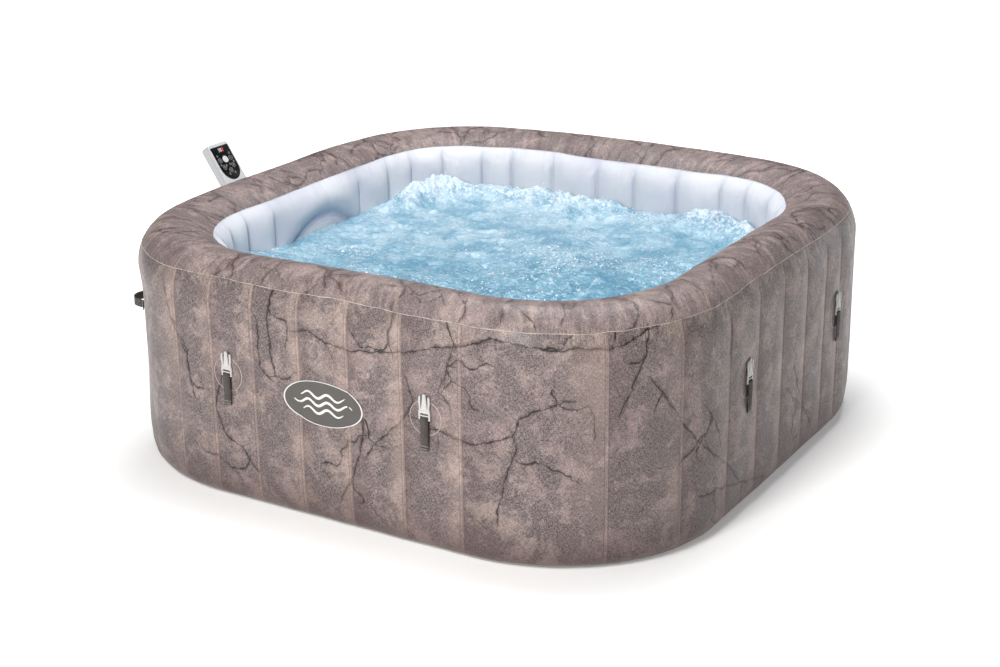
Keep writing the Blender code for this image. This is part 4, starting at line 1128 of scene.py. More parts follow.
def make_strap(number, stone, edge, cloth, light_thread):
    """A round patch on the wall, and the sewn webbing that holds a buckle's bar."""
    wall, along, height, bar = bar_frame(number)
    centre = (along, height + PATCH_RISE)
    disc = [(share, 0.0008) for share in (0.02, 0.35, 0.70, 0.95)] + [(0.985, 0.0007), (1.0, -0.0004)]
    patch = wall_disc(f"patch_{number}", wall, centre, (PATCH_RADIUS,) * 2, disc, "tub", stone)
    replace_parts(patch, f"strap_tab_{number}")
    rim = [(0.975, 0.0002), (0.982, 0.0012), (1.006, 0.0012), (1.012, -0.0002)]
    wall_disc(f"patch_edge_{number}", wall, centre, (PATCH_RADIUS,) * 2, rim, "tub", edge)
    loop = [(BAR_LOOP * math.sin(a), -BAR_LOOP * math.cos(a)) for a in np.linspace(0.25, math.pi - 0.2, 7)]
    sway = 0.0006 * math.sin(2.1 * number)
    path = [(-0.040, -0.0031), (-0.030, -0.0036), (-0.015, -0.0037), *loop, (-0.012, 0.0037),
            (-0.030, 0.0034 + sway), (-0.055, 0.0029 - sway), (-0.076, 0.0026 + sway), (-0.0870, 0.0022)]
    ribbon(f"webbing_{number}", path, 0.0013, bar, cloth)
    hem = [(-0.0735, 0.0012 + sway), (-0.080, 0.0009), (-0.0872, 0.0008)]
    ribbon(f"webbing_hem_{number}", hem, 0.0012, bar, cloth)
    stitches(f"stitches_{number}", ((-0.0755, 0.0033 + sway), (-0.0835, 0.0031)), bar, light_thread)


def evaluated_mesh(made):
    bpy.context.view_layer.update()
    return bpy.data.meshes.new_from_object(made.evaluated_get(bpy.context.evaluated_depsgraph_get()))


def plate_mesh(name, outlines, thickness, bevel):
    """A flat plate in the XY plane with rounded edges, whose later outlines are holes."""
    data = bpy.data.curves.new(name, "CURVE")
    data.dimensions = "2D"
    data.fill_mode = "BOTH"
    data.extrude = thickness / 2 - bevel
    data.bevel_depth = bevel
    data.bevel_resolution = 2
    data.offset = -bevel
    for outline in outlines:
        spline = data.splines.new("POLY")
        spline.points.add(len(outline) - 1)
        for point, (x, y) in zip(spline.points, outline):
            point.co = (x, y, 0, 1)
        spline.use_cyclic_u = True
    holder = linked(name, data)
    mesh = evaluated_mesh(holder)
    bpy.data.objects.remove(holder)
    return mesh


def rounded(points, radius, steps=4):
    """The outline with its corners rounded off."""
    made = []
    count = len(points)
    for i, corner in enumerate(points):
        corner = Vector(corner)
        before, after = Vector(points[i - 1]) - corner, Vector(points[(i + 1) % count]) - corner
        cut = min(radius, before.length * 0.45, after.length * 0.45)
        start, end = corner + before.normalized() * cut, corner + after.normalized() * cut
        for j in range(steps + 1):
            u = j / steps
            made.append(tuple(start * (1 - u) ** 2 + corner * 2 * u * (1 - u) + end * u ** 2))
    return made


def mirrored(right):
    return right + [(-x, y) for x, y in right[::-1]]


def rectangle(half_width, low, high):
    return [(-half_width, low), (half_width, low), (half_width, high), (-half_width, high)]


def buckle_mesh():
    """The prong half of a side-release buckle: ladder below, two springy side arms and a tapered guide."""
    right = [(0.0165, -0.0022), (0.0178, -0.0005), (0.0178, 0.0225), (0.0160, 0.0262), (0.0152, 0.0340),
             (0.0178, 0.0450), (0.0174, 0.0595), (0.0140, 0.0655), (0.0108, 0.0625), (0.0112, 0.0420),
             (0.0104, 0.0290), (0.0092, 0.0290), (0.0058, 0.0590), (0.0054, 0.0660), (0.0030, 0.0705)]
    holes = [rectangle(0.0130, 0.0020, 0.0082), rectangle(0.0130, 0.0112, 0.0164)]
    plates = [([rounded(mirrored(right), 0.0022), *(rounded(h, 0.0008) for h in holes)], 0.0042, 0.0007)]
    guide = mirrored([(0.0078, 0.0285), (0.0046, 0.0560), (0.0042, 0.0640), (0.0024, 0.0690)])
    plates.append(([rounded(guide, 0.0020), rounded(rectangle(0.0022, 0.0560, 0.0615), 0.0010)], 0.0060, 0.0008))
    plates.append(([rounded(rectangle(0.0172, 0.0178, 0.0245), 0.0014)], 0.0056, 0.0010))
    for side in (-1, 1):
        grip = [(side * x, y) for x, y in ((0.0120, 0.0440), (0.0172, 0.0455), (0.0168, 0.0590), (0.0138, 0.0640),
                                           (0.0118, 0.0600))]
        plates.append(([rounded(grip[::side], 0.0014)], 0.0062, 0.0010))
    joined = bmesh.new()
    for outlines, thickness, bevel in plates:
        part = plate_mesh("buckle_part", outlines, thickness, bevel)
        joined.from_mesh(part)
        bpy.data.meshes.remove(part)
    bmesh.ops.remove_doubles(joined, verts=joined.verts, dist=0.00002)
    mesh = settled("buckle_look", joined)
    mesh.shade_smooth()
    mesh.set_sharp_from_angle(angle=math.radians(40))
    return mesh


def make_buckles(plastic):
    mesh = buckle_mesh()
    mesh.materials.append(plastic)
    for number in range(1, 9):
        made = linked(f"buckle_look_{number}", mesh)
        made.matrix_world = bar_frame(number)[3]
        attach(made, f"buckle_{number}")
        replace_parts(made, f"buckle_{number}")


def make_handle(number, cloth, light_thread):
    """A webbing grip whose sewn-down ends follow the corner."""
    middle = middle_of(f"carry_handle_{number}")
    side = 1 if middle.y < 0 else -1
    angle = HANDLE_ANGLE
    x = side * (FLAT + CORNER_RADIUS * math.sin(angle))
    y = -FLAT - CORNER_RADIUS * math.cos(angle)
    upright = Matrix.Rotation(PUMP_WALL * math.pi / 2, 4, "Z") @ Matrix.Translation((x, y, middle.z))
    lying = upright @ Matrix.Rotation(side * angle, 4, "Z") @ Matrix(
        ((0, 1, 0, 0), (0, 0, -1, 0), (-1, 0, 0, 0), (0, 0, 0, 1)))
    half = [(-0.076, -0.0040), (-0.064, -0.0016), (-0.052, 0.0002), (-0.041, 0.0140), (-0.023, 0.0310)]
    path = half + [(0, 0.0370)] + [(-y, z) for y, z in half[::-1]]
    grip = ribbon(f"handle_webbing_{number}", path, 0.0022, lying, cloth)
    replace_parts(grip, f"carry_handle_{number}")
    rows = [(sign * row, out) for sign in (-1, 1) for row, out in ((0.072, -0.0018), (0.056, 0.0012))]
    stitches(f"handle_stitches_{number}", rows, lying, light_thread)


# ---- Turned and lofted pieces ---------------------------------------------------------------------

SHARP_ANGLE = math.radians(32)
PUMP_CORNER = 0.050              # radius of the pump unit's upright corners
GRILLE_SLOTS = 9
GRILLE_PITCH = 0.0155
FLUTES = 9
STALK_BORE = 0.0186              # radius of the hole in the lid that the stalk slides in


def loft(name, loops, body, material, closed=False):
    """Joins loops of equally many points; an open loft is capped at both ends, a closed one joins up."""
    count = len(loops[0])
    points = [p for loop in loops for p in loop]
    faces = grid_faces(len(loops) + int(closed), count, wrap=True)
    if closed:
        faces = [[i % len(points) for i in face] for face in faces]
    else:
        faces += end_caps(len(points), count)
    made = mesh_object(name, points, faces, body, material)
    mesh = bmesh.new()
    mesh.from_mesh(made.data)
    bmesh.ops.recalc_face_normals(mesh, faces=mesh.faces)
    mesh.to_mesh(made.data)
    mesh.free()
    made.data.set_sharp_from_angle(angle=SHARP_ANGLE)
    return made


def wall_axis(node):
    """A frame on the axis of one of the pump wall's pieces, with Z away from the tub and the wall at Z = 0."""
    middle = middle_of(node)
    return wall_frame(PUMP_WALL, -middle.y, middle.z)


def ring(matrix, radii, height):
    """A loop of points round the matrix's Z axis, one for each radius."""
    angles = 2 * math.pi * np.arange(len(radii)) / len(radii)
    return [matrix @ Vector((r * math.cos(a), r * math.sin(a), height)) for r, a in zip(radii, angles)]


def turned(name, section, matrix, body, material, segments=64, lobes=0, depth=0.0, closed=False):
    """A turned piece from (radius, height) points; grip lobes are cut where a point has a third value."""
    grip = depth * (0.5 + 0.5 * np.cos(lobes * 2 * math.pi * np.arange(segments) / segments)) ** 3
    loops = [ring(matrix, radius - (grip if lobed else 0 * grip), height) for radius, height, *lobed in section]
    return loft(name, loops, body, material, closed)


def make_cap(node, stub_radius, plastic):
    outer = stub_radius + 0.006
    section = [(stub_radius + 0.0006, 0.0067), (outer - 0.0008, 0.0067), (outer, 0.0078, 1), (outer, 0.0210, 1),
               (outer - 0.0010, 0.0232, 1), (outer - 0.0035, 0.0240), (outer - 0.0060, 0.0249), (0.0080, 0.0249),
               (0.0072, 0.0241), (0.0010, 0.0241)]
    made = turned(f"{node}_look", section, wall_axis(node), node, plastic, 128, 16, 0.0016)
    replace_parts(made, node)


def make_nut(node, plastic):
    section = [(0.0245, 0.0122), (0.0322, 0.0122), (0.0335, 0.0134, 1), (0.0335, 0.0318, 1), (0.0318, 0.0335, 1),
               (0.0225, 0.0335), (0.0210, 0.0328), (0.0210, 0.0300), (0.0245, 0.0300)]
    made = turned(f"{node}_look", section, wall_axis(node), node, plastic, 160, 20, 0.0020, True)
    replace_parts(made, node)


def make_spool(node, bore, pipe, flange, inner_end, plastic):
    """A through-wall fitting: threaded stub, outer flange, pipe and, where it gets there, the basin's flange."""
    stub = bore + 0.006
    section = [(bore, 0.0192), (bore + 0.0008, 0.0200), (stub - 0.0008, 0.0200)]
    for i in range(5):
        z = 0.0185 - 0.0028 * i
        section += [(stub - 0.0006, z), (stub + 0.0002, z - 0.0008), (stub + 0.0002, z - 0.0014)]
    section += [(stub, 0.0052), (flange - 0.0024, 0.0052), (flange - 0.0004, 0.0044), (flange + 0.0003, 0.0024),
                (flange, 0.0006), (pipe, 0.0006)]
    if inner_end < -WALL_WIDTH:
        section += [(pipe, inner_end + 0.004), (flange, inner_end + 0.004), (flange, inner_end + 0.001),
                    (flange - 0.0016, inner_end)]
    else:
        section.append((pipe, inner_end))
    section.append((bore, inner_end))
    made = turned(f"{node}_look", section, wall_axis(node), "tub", plastic, 72, closed=True)
    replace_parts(made, node)


def round_rectangle(half_x, half_y, radius):
    points = []
    segments = 10
    for quarter, (sx, sy) in enumerate(((1, 1), (-1, 1), (-1, -1), (1, -1))):
        for i in range(segments + 1):
            angle = quarter * math.pi / 2 + math.pi / 2 * i / segments
            points.append((sx * (half_x - radius) + radius * math.cos(angle),
                           sy * (half_y - radius) + radius * math.sin(angle)))
    return points


def pump_loops(line):
    """Loops round the pump's plan at each (inset, height)."""
    low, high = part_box("pump_casing")
    middle, half = (low + high) / 2, (high - low) / 2
    return [[Vector((middle.x + x, middle.y + y, z))
             for x, y in round_rectangle(half.x - inset, half.y - inset, PUMP_CORNER - inset * 0.6)]
            for inset, z in line]


def cut_away(made, name, shape):
    """Takes a bmesh's volume away from the piece."""
    cutter = linked(name, settled(name, shape))
    modifier = made.modifiers.new("cut", "BOOLEAN")
    modifier.operation = "DIFFERENCE"
    modifier.object = cutter
    modifier.solver = "EXACT"
    data = evaluated_mesh(made)
    made.modifiers.clear()
    made.data = data
    bpy.data.objects.remove(cutter)
    data.set_sharp_from_angle(angle=SHARP_ANGLE)


def make_casing(plastic, dark):
    """The pump's shell: a waist groove, a raised grille at the back, and grip flutes on both sides."""
    low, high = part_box("pump_casing")
    top = high.z
    line = [(0.0100, low.z), (0.0040, low.z + 0.020), (0.0008, low.z + 0.060), (0.0, 0.130), (0.0, 0.3380),
            (0.0005, 0.3440), (0.0028, 0.3450), (0.0028, 0.3478), (0.0005, 0.3490), (0.0010, 0.365),
            (0.0040, top - 0.012), (0.0080, top)]
    inside = [(inset + 0.003, z) for inset, z in line[::-1]]
    shell = loft("pump_shell", pump_loops(line + inside), "tub", plastic, closed=True)
    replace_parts(shell, "pump_casing")
    middle = (low + high) / 2
    cutter = bmesh.new()
    for i in range(GRILLE_SLOTS):
        z = 0.115 + GRILLE_PITCH * i
        outline = rounded([(-0.060, z), (0.060, z), (0.060, z + 0.0075), (-0.060, z + 0.0075)], 0.0035)
        rings = [[cutter.verts.new((x, middle.y + y, zz)) for y, zz in outline] for x in (low.x - 0.02, low.x + 0.012)]
        count = len(outline)
        for j in range(count):
            cutter.faces.new((rings[0][j], rings[0][(j + 1) % count], rings[1][(j + 1) % count], rings[1][j]))
        cutter.faces.new(rings[0][::-1])
        cutter.faces.new(rings[1])
    bmesh.ops.recalc_face_normals(cutter, faces=cutter.faces)
    cut_away(shell, "slots", cutter)
    frame_mesh = plate_mesh("grille_frame", [rounded(rectangle(0.072, 0.100, 0.262), 0.012, 6),
                                             rounded(rectangle(0.066, 0.106, 0.256), 0.009, 6)], 0.0040, 0.0012)
    made = linked("grille_frame", frame_mesh)
    made.matrix_world = Matrix.Translation((low.x - 0.0004, middle.y, 0)) @ Matrix(
        ((0, 0, -1, 0), (-1, 0, 0, 0), (0, 1, 0, 0), (0, 0, 0, 1)))
    frame_mesh.materials.append(plastic)
    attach(made, "tub")
    rods = []
    for side in (-1, 1):
        y = middle.y + side * (high.y - low.y) / 2
        for i in range(FLUTES):
            x = middle.x - 0.048 + 0.012 * i
            rods.append(((x, y, 0.150), (x, y, 0.318)))
    capsules("side_flutes", rods, 0.0026, "tub", plastic, sides=10)
    screws = [(middle.y + y, z) for y in (-0.088, 0.088) for z in (0.090, 0.290)]
    for number, (y, z) in enumerate(screws, 1):
        matrix = Matrix.Translation((low.x, y, z)) @ Matrix.Rotation(-math.pi / 2, 4, "Y")
        turned(f"casing_screw_{number}", [(0.0048, -0.001), (0.0048, 0.0008), (0.0036, 0.0022), (0.0016, 0.0024),
               (0.0016, 0.0010), (0.0003, 0.0010)], matrix, "tub", dark, 24)


def make_cover(plastic, dark):
    """The domed lid, with a bore and a collar for the stalk."""
    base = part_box("pump_top_cover")[0].z
    line = [(0.0090, base), (0.0066, base + 0.002), (0.0066, base + 0.022), (0.0090, base + 0.036),
            (0.0160, base + 0.046), (0.0300, base + 0.0530), (0.0520, base + 0.0560), (0.0700, base + 0.0568)]
    cover = loft("pump_lid", pump_loops(line), "tub", plastic)
    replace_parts(cover, "pump_top_cover")
    stalk = middle_of("telescopic_stalk")
    axis = Matrix.Translation((stalk.x, stalk.y, 0))
    bore = bmesh.new()
    bmesh.ops.create_cone(bore, cap_ends=True, segments=64, radius1=STALK_BORE, radius2=STALK_BORE, depth=0.240,
                          matrix=Matrix.Translation((stalk.x, stalk.y, base)))
    cut_away(cover, "stalk_bore", bore)
    turned("stalk_collar", [(0.0300, base + 0.050), (0.0295, base + 0.0585), (0.0265, base + 0.0610),
           (0.0225, base + 0.0612), (0.0187, base + 0.0600), (0.0187, base + 0.050)], axis, "tub",
           dark)


def make_base(dark, rubber):
    """The skirt round the pump's base, and its four feet."""
    line = [(0.030, 0.0100), (0.0170, 0.0104), (0.0105, 0.0150), (0.0085, 0.0200), (0.0085, 0.0298), (0.020, 0.0300)]
    loft("pump_plinth", pump_loops(line), "tub", dark)
    middle = middle_of("pump_casing")
    for number, (sx, sy) in enumerate(((1, 1), (1, -1), (-1, 1), (-1, -1)), 1):
        matrix = Matrix.Translation((middle.x + sx * 0.080, middle.y + sy * 0.115, 0))
        turned(f"pump_foot_{number}", [(0.0135, 0.0), (0.0165, 0.0010), (0.0180, 0.0040), (0.0185, 0.0110)],
               matrix, "tub", rubber, 40)


def make_stalk(plastic):
    low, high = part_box("telescopic_stalk")
    middle = (low + high) / 2
    radius = (high.x - low.x) / 2
    section = [(radius - 0.0028, low.z), (radius, low.z + 0.0010), (radius, low.z + 0.090),
               (radius - 0.0004, low.z + 0.0905)]
    for i in range(7):
        z = low.z + 0.098 + 0.014 * i
        section += [(radius - 0.0004, z), (radius - 0.0014, z + 0.0008), (radius - 0.0014, z + 0.0030),
                    (radius - 0.0004, z + 0.0038)]
    section += [(radius - 0.0004, high.z), (radius - 0.0028, high.z)]
    made = turned("stalk_look", section, Matrix.Translation((middle.x, middle.y, 0)), "control_head",
                  plastic)
    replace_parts(made, "telescopic_stalk")


# ---- Control head ---------------------------------------------------------------------------------

def head_frame():
    """X across, Y up along the head, Z out of its face, from the start button's axis and the head's place."""
    press = next(j for j in frame["joints"] if j["name"] == "start_press")
    out = Vector(press["axis"]).normalized()
    up = Vector((0, 0, 1)) - out * out.z
    up.normalize()
    across = up.cross(out)
    middle = middle_of("start_button")
    return Matrix([[across[i], up[i], out[i], middle[i]] for i in range(3)] + [[0, 0, 0, 1]])


KEY_REACH = 0.0052               # how far from the middle of a key its own sign goes
KEY_TOP = 0.0004                 # how far the keys stand above the panel
HEAD_FACE = 0.0010               # the panel's face, measured from the middle of the start button


def refine(node, bevel, material, segments=3):
    """A CAD node that stays, with softened edges and its own finish."""
    made = frame["nodes"][node]
    weld = made.modifiers.new("weld", "WELD")
    weld.merge_threshold = 0.00005
    if bevel:
        soft = made.modifiers.new("soft edges", "BEVEL")
        soft.width = bevel
        soft.segments = segments
        soft.limit_method = "ANGLE"
        soft.angle_limit = math.radians(38)
        soft.harden_normals = True
    made.data.materials.clear()
    made.data.materials.append(material)
    return made


LIT_BARS = {"2": "acdeg", "3": "acdfg", "8": "abcdefg"}   # of a seven-segment digit, as named in digit_bars


def digit_bars(text, x, y, height):
    """Centre lines of a digit's lit bars, in the head's frame."""
    half = height / 2
    wide = height * 0.26
    lines = {
        "a": ((-wide, half), (wide, half)), "b": ((-wide, 0), (-wide, half)), "c": ((wide, 0), (wide, half)),
        "d": ((-wide, 0), (wide, 0)), "e": ((-wide, -half), (-wide, 0)), "f": ((wide, -half), (wide, 0)),
        "g": ((-wide, -half), (wide, -half)),
    }
    gap = 0.10
    made = []
    for key in LIT_BARS[text]:
        (ax, ay), (bx, by) = lines[key]
        start = (x + ax + (bx - ax) * gap, y + ay + (by - ay) * gap)
        end = (x + bx + (ax - bx) * gap, y + by + (ay - by) * gap)
        made.append((start, end))
    return made


def marks(name, lines, width, face, lift, body, material):
    """Flat printed lines on the panel as thin raised strips; lines are pairs of (x, y) ends."""
    points, faces = [], []
    for (ax, ay), (bx, by) in lines:
        along = Vector((bx - ax, by - ay))
        side = Vector((-along.y, along.x)).normalized() * width / 2
        base = len(points)
        for z in (0.0, lift):
            for x, y in ((ax - side.x, ay - side.y), (bx - side.x, by - side.y), (bx + side.x, by + side.y),
                         (ax + side.x, ay + side.y)):
                points.append(face @ Vector((x, y, z)))
        faces += [[base + i for i in f] for f in ((4, 5, 6, 7), (0, 1, 5, 4), (1, 2, 6, 5), (2, 3, 7, 6), (3, 0, 4, 7),
                                                  (3, 2, 1, 0))]
    return mesh_object(name, points, faces, body, material, shade=False)


def ring_lines(x, y, radius, start=0.0, end=360.0, steps=14):
    angles = np.radians(np.linspace(start, end, steps + 1))
    spots = [(x + radius * math.cos(a), y + radius * math.sin(a)) for a in angles]
    return list(zip(spots, spots[1:]))


def panel_symbols():
    """Plain signs round the keys: rings, arrows, waves, a drop and a flake, centred on the start button."""
    signs = []
    for x, y in ((-0.027, 0.0), (0.027, 0.0), (-0.022, -0.026), (0.022, -0.026), (0.0, -0.040)):
        signs += ring_lines(x, y, 0.0078)
    for x, y in ((-0.027, 0.0), (0.027, 0.0)):
        way = 1 if x < 0 else -1
        tip = (x, y + 0.002 * way)
        signs += [((x - 0.0025, y - 0.001 * way), tip), (tip, (x + 0.0025, y - 0.001 * way))]
    for k in (-1, 0, 1):
        y = -0.026 + 0.0022 * k
        signs += [((-0.0245, y), (-0.0228, y + 0.0008)), ((-0.0228, y + 0.0008), (-0.0212, y - 0.0002)),
                  ((-0.0212, y - 0.0002), (-0.0195, y + 0.0006))]
    for k in range(3):
        a = math.pi * k / 3
        signs.append(((0.022 - 0.0028 * math.cos(a), -0.026 - 0.0028 * math.sin(a)),
                      (0.022 + 0.0028 * math.cos(a), -0.026 + 0.0028 * math.sin(a))))
    signs += ring_lines(0.0, -0.0405, 0.0022, 120, 420, 10)
    signs += [((0.0, -0.0375), (0.0, -0.0400))]
    for reach, y in ((0.030, 0.018), (0.0315, -0.014), (0.013, -0.050), (0.009, -0.019)):
        for x in (-reach, reach):
            signs += ring_lines(x, y, 0.0024, 0, 360, 8)
            signs += [((x - 0.0036, y - 0.0042), (x + 0.0036, y - 0.0042))]
    return signs


def make_head(shell, panel, button, key, white_mark, red_mark, grey_mark):
    refine("head_rear_shell", 0.0035, shell, 4)
    refine("head_front_shell", 0.0012, shell)
    refine("control_panel", 0.0004, panel, 2)
    refine("start_button", 0.0003, button, 2)
    for number in range(1, 6):
        refine(f"key_{number}", 0.0002, key, 2)
    face = head_frame() @ Matrix.Translation((0, 0, HEAD_FACE - 0.0003))
    display = (("3", -0.0085, white_mark), ("8", 0.0005, white_mark), ("2", 0.0095, red_mark))
    for number, (text, x, light) in enumerate(display, 1):
        marks(f"display_digit_{number}", digit_bars(text, x, 0.0345, 0.0105), 0.0016, face, 0.0007,
              "control_head", light)
    signs = panel_symbols()
    raised = head_frame() @ Matrix.Translation((0, 0, HEAD_FACE + KEY_TOP - 0.0002))
    for number in range(1, 6):
        spot = head_frame().inverted() @ middle_of(f"key_{number}")
        own = [line for line in signs if math.hypot(line[0][0] - spot.x, line[0][1] - spot.y) < KEY_REACH]
        signs = [line for line in signs if line not in own]
        marks(f"key_sign_{number}", own, 0.0007, raised, 0.0004, f"key_{number}", grey_mark)
    marks("panel_symbols", signs, 0.0007, face, 0.0006, "control_head", grey_mark)
    glyph = ring_lines(0, 0, 0.0048, 125, 415, 18) + [((0, 0.0022), (0, 0.0062))]
    marks("button_sign", glyph, 0.0009, head_frame() @ Matrix.Translation((0, 0, HEAD_FACE + 0.0009)), 0.0004,
          "start_button", grey_mark)


# ---- Soft pieces in the basin and below -----------------------------------------------------------

def make_disc(material):
    """The round patch welded to the basin's side, nearly flat, with a pressed band round its edge."""
    matrix = wall_axis("coupling_disc")
    share = np.concatenate([np.linspace(0.01, 0.90, 34), [0.925, 0.94, 0.955, 0.97, 0.985, 1.0]])[:, None]
    angle = np.linspace(0, 2 * math.pi, 160, endpoint=False)[None, :]
    x, y = share * DISC_RADIUS * np.cos(angle), share * DISC_RADIUS * np.sin(angle)
    waves = 0.0011 * value_noise(x / 0.075, y / 0.075, 71) + 0.0005 * value_noise(x / 0.022, y / 0.022, 72)
    band = 0.0008 * bell(share - 0.955, 0.02) + 0.001 * smooth(share, 0.985, 1)
    lift = 0.0016 + waves * (1 - smooth(share, 0.86, 0.93)) - band
    points = [matrix @ Vector(p) for p in zip(x.ravel(), y.ravel(), (-WALL_WIDTH - lift).ravel())]
    made = mesh_object("basin_disc", points, grid_faces(len(share), 160, wrap=True, flip=True), "tub",
                       material)
    store(made, "run", x)
    store(made, "drop", y)
    store(made, "pleat", np.full(x.shape, PLEAT_REACH))
    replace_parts(made, "coupling_disc")


def make_flat_sheet(name, node, inset, height, ripple, material, seed):
    """A ground or floor sheet, with the long soft ripples of PVC that has been folded."""
    x, y, faces = clipped_grid(HALF - inset, corner_radius(inset), 0.022)
    level = height + ripple * (1 + value_noise(x / 0.19, y / 0.06, seed) * value_noise(x / 0.30, y / 0.30, seed + 1))
    made = mesh_object(name, np.stack([x, y, level], -1), faces, "tub", material)
    for key, values in (("run", x), ("drop", y), ("pleat", np.full(len(x), PLEAT_REACH))):
        store(made, key, values)
    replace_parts(made, node)


def make_duct(material):
    """The bubble duct round the basin's floor: a half-round tube with soft puffs and rows of air holes."""
    low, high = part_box("air_duct")
    tall = high.z - low.z
    middle = HALF - high.x + tall
    run = np.arange(0, LAP, 0.009)
    angle = np.linspace(0.0, math.pi, 14)[:, None]
    puff = 1 - 0.05 * (0.5 + 0.5 * np.cos(run * 2 * math.pi / 0.12)) ** 6 + 0.02 * run_noise(run, 0 * run, 0.05, 1, 81)
    wide = 0.95 * tall
    inset = middle - wide * np.cos(angle) * puff[None, :]
    place, _ = plan(np.broadcast_to(run, inset.shape), inset)
    level = low.z + tall * np.sin(angle) * puff[None, :] * 0.99
    points = np.concatenate([place, level[..., None]], -1).reshape(-1, 3)
    made = mesh_object("bubble_duct", points, grid_faces(14, len(run), wrap=True), "tub", material)
    store(made, "run", np.broadcast_to(run, inset.shape))
    store(made, "drop", np.broadcast_to(angle * tall, inset.shape))
    store(made, "pleat", np.full(inset.shape, PLEAT_REACH))
    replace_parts(made, "air_duct")
    rng = np.random.default_rng(82)
    holes = []
    for place_run in np.arange(0.05, LAP, 0.06):
        for side in (0.9, 1.5, 2.2):
            (x, y), (ox, oy) = (v[0] for v in plan(np.array([place_run + rng.uniform(-0.004, 0.004)]),
                                                   np.array([middle - wide * math.cos(side)])))
            out = Vector((ox * math.cos(side), oy * math.cos(side), math.sin(side)))
            spot = Vector((x, y, low.z + tall * math.sin(side) * 0.985))
            holes.append((spot - out * 0.001, spot + out * 0.0012))
    capsules("duct_grommets", holes, 0.0016, "tub", material, sides=8)


def make_feed_tube(material):
    """The flat tube from the air coupling down to the duct, quilted by the water's pressure."""
    low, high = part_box("air_feed_tube")
    middle, half = (low + high) / 2, (high - low) / 2
    angles = np.linspace(0, 2 * math.pi, 28, endpoint=False)
    loops = []
    for i, z in enumerate(np.linspace(low.z, high.z, 40)):
        thick = half.x * (0.80 + 0.16 * math.sin(i * 0.9) ** 2)
        loops.append([Vector((middle.x + thick * math.sin(a) * abs(math.sin(a)) ** 0.2,
                              middle.y + half.y * math.cos(a), z)) for a in angles])
    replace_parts(loft("feed_tube", loops, "tub", material), "air_feed_tube")


def make_filter(paper, plastic):
    """A pleated cartridge between two moulded ends, lying across the basin from the inlet."""
    matrix = wall_axis("filter_cartridge")
    folds = 0.0465 - 0.0060 * np.abs(np.sin(18 * np.linspace(0, 2 * math.pi, 288, endpoint=False)))
    loops = [ring(matrix, folds, z) for z in (-0.2276, -0.2400, -0.2650, -0.2900, -0.3036)]
    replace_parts(loft("filter_pleats_look", loops, "tub", paper), "filter_cartridge")
    for name, end, inner in (("filter_end_near", -0.2216, -0.2280), ("filter_end_far", -0.3096, -0.3030)):
        section = [(0.0200, end), (0.0480, end), (0.0500, (end * 0.7 + inner * 0.3)), (0.0500, inner), (0.0200, inner)]
        turned(name, section, matrix, "tub", plastic, 72, closed=True)


def make_cord_gland(rubber):
    """The ribbed strain relief where the mains cord would come out, with the cord left out."""
    low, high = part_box("cord_inlet")
    place = ((low.x + high.x) / 2, high.y - 0.018, (low.z + high.z) / 2)
    matrix = Matrix.Translation(place) @ Matrix.Rotation(-math.pi / 2, 4, "X")
    section = [(0.0050, -0.0120), (0.0140, -0.0120), (0.0140, -0.0040), (0.0100, -0.0040), (0.0100, 0.0006),
               (0.0156, 0.0006), (0.0160, 0.0012), (0.0160, 0.0040), (0.0150, 0.0046), (0.0112, 0.0052)]
    for i in range(4):
        z = 0.0068 + 0.0028 * i
        radius = 0.0112 - 0.0005 * i
        section += [(radius, z), (radius, z + 0.0014), (radius - 0.0016, z + 0.0018), (radius - 0.0016, z + 0.0026)]
    section += [(0.0086, 0.0178), (0.0050, 0.0180)]
    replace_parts(turned("cord_gland", section, matrix, "tub", rubber, 40, closed=True), "cord_inlet")


# ---- Build ----------------------------------------------------------------------------------------

def build_tub(finishes):
    stone, stone_top, pvc, weld = (finishes[k] for k in ("stone", "stone_top", "pvc", "weld"))
    make_skin("outer_skin", "outer_wall", OUTER_PLEATS, outer_relief, OUTER_START, RIM_START, 64, stone)
    make_skin("rim_skin", "top_rim", OUTER_PLEATS, rim_relief, RIM_START, PRINT_END, 40, stone_top)
    make_skin("basin_skin", "inner_wall", INNER_PLEATS, inner_relief, PRINT_END, INNER_END, 52, pvc)
    make_weld("rim_weld", RIM_START, outer_relief, 0.0017, weld, 91)
    make_weld("foot_weld", FOOT_LINE, outer_relief, 0.0050, finishes["foot"], 93)
    make_weld("basin_weld", PRINT_END, rim_relief, 0.0022, pvc, 92)
    make_disc(pvc)
    make_flat_sheet("ground_sheet", "base_sheet", 0.048, 0.0004, 0.0002, finishes["ground"], 73)
    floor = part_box("floor_sheet")[1].z
    make_flat_sheet("basin_floor", "floor_sheet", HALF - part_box("floor_sheet")[1].x, floor, 0.0006,
                    pvc, 75)
    make_duct(pvc)
    make_feed_tube(pvc)
    make_badge(finishes["badge"], finishes["print_white"])
    for number in range(1, 9):
        make_strap(number, stone, weld, finishes["webbing"], finishes["thread"])
    for number in (1, 2):
        make_handle(number, finishes["webbing"], finishes["thread"])
    make_water(finishes["water"])
    make_bubbles(finishes["bubbles"])


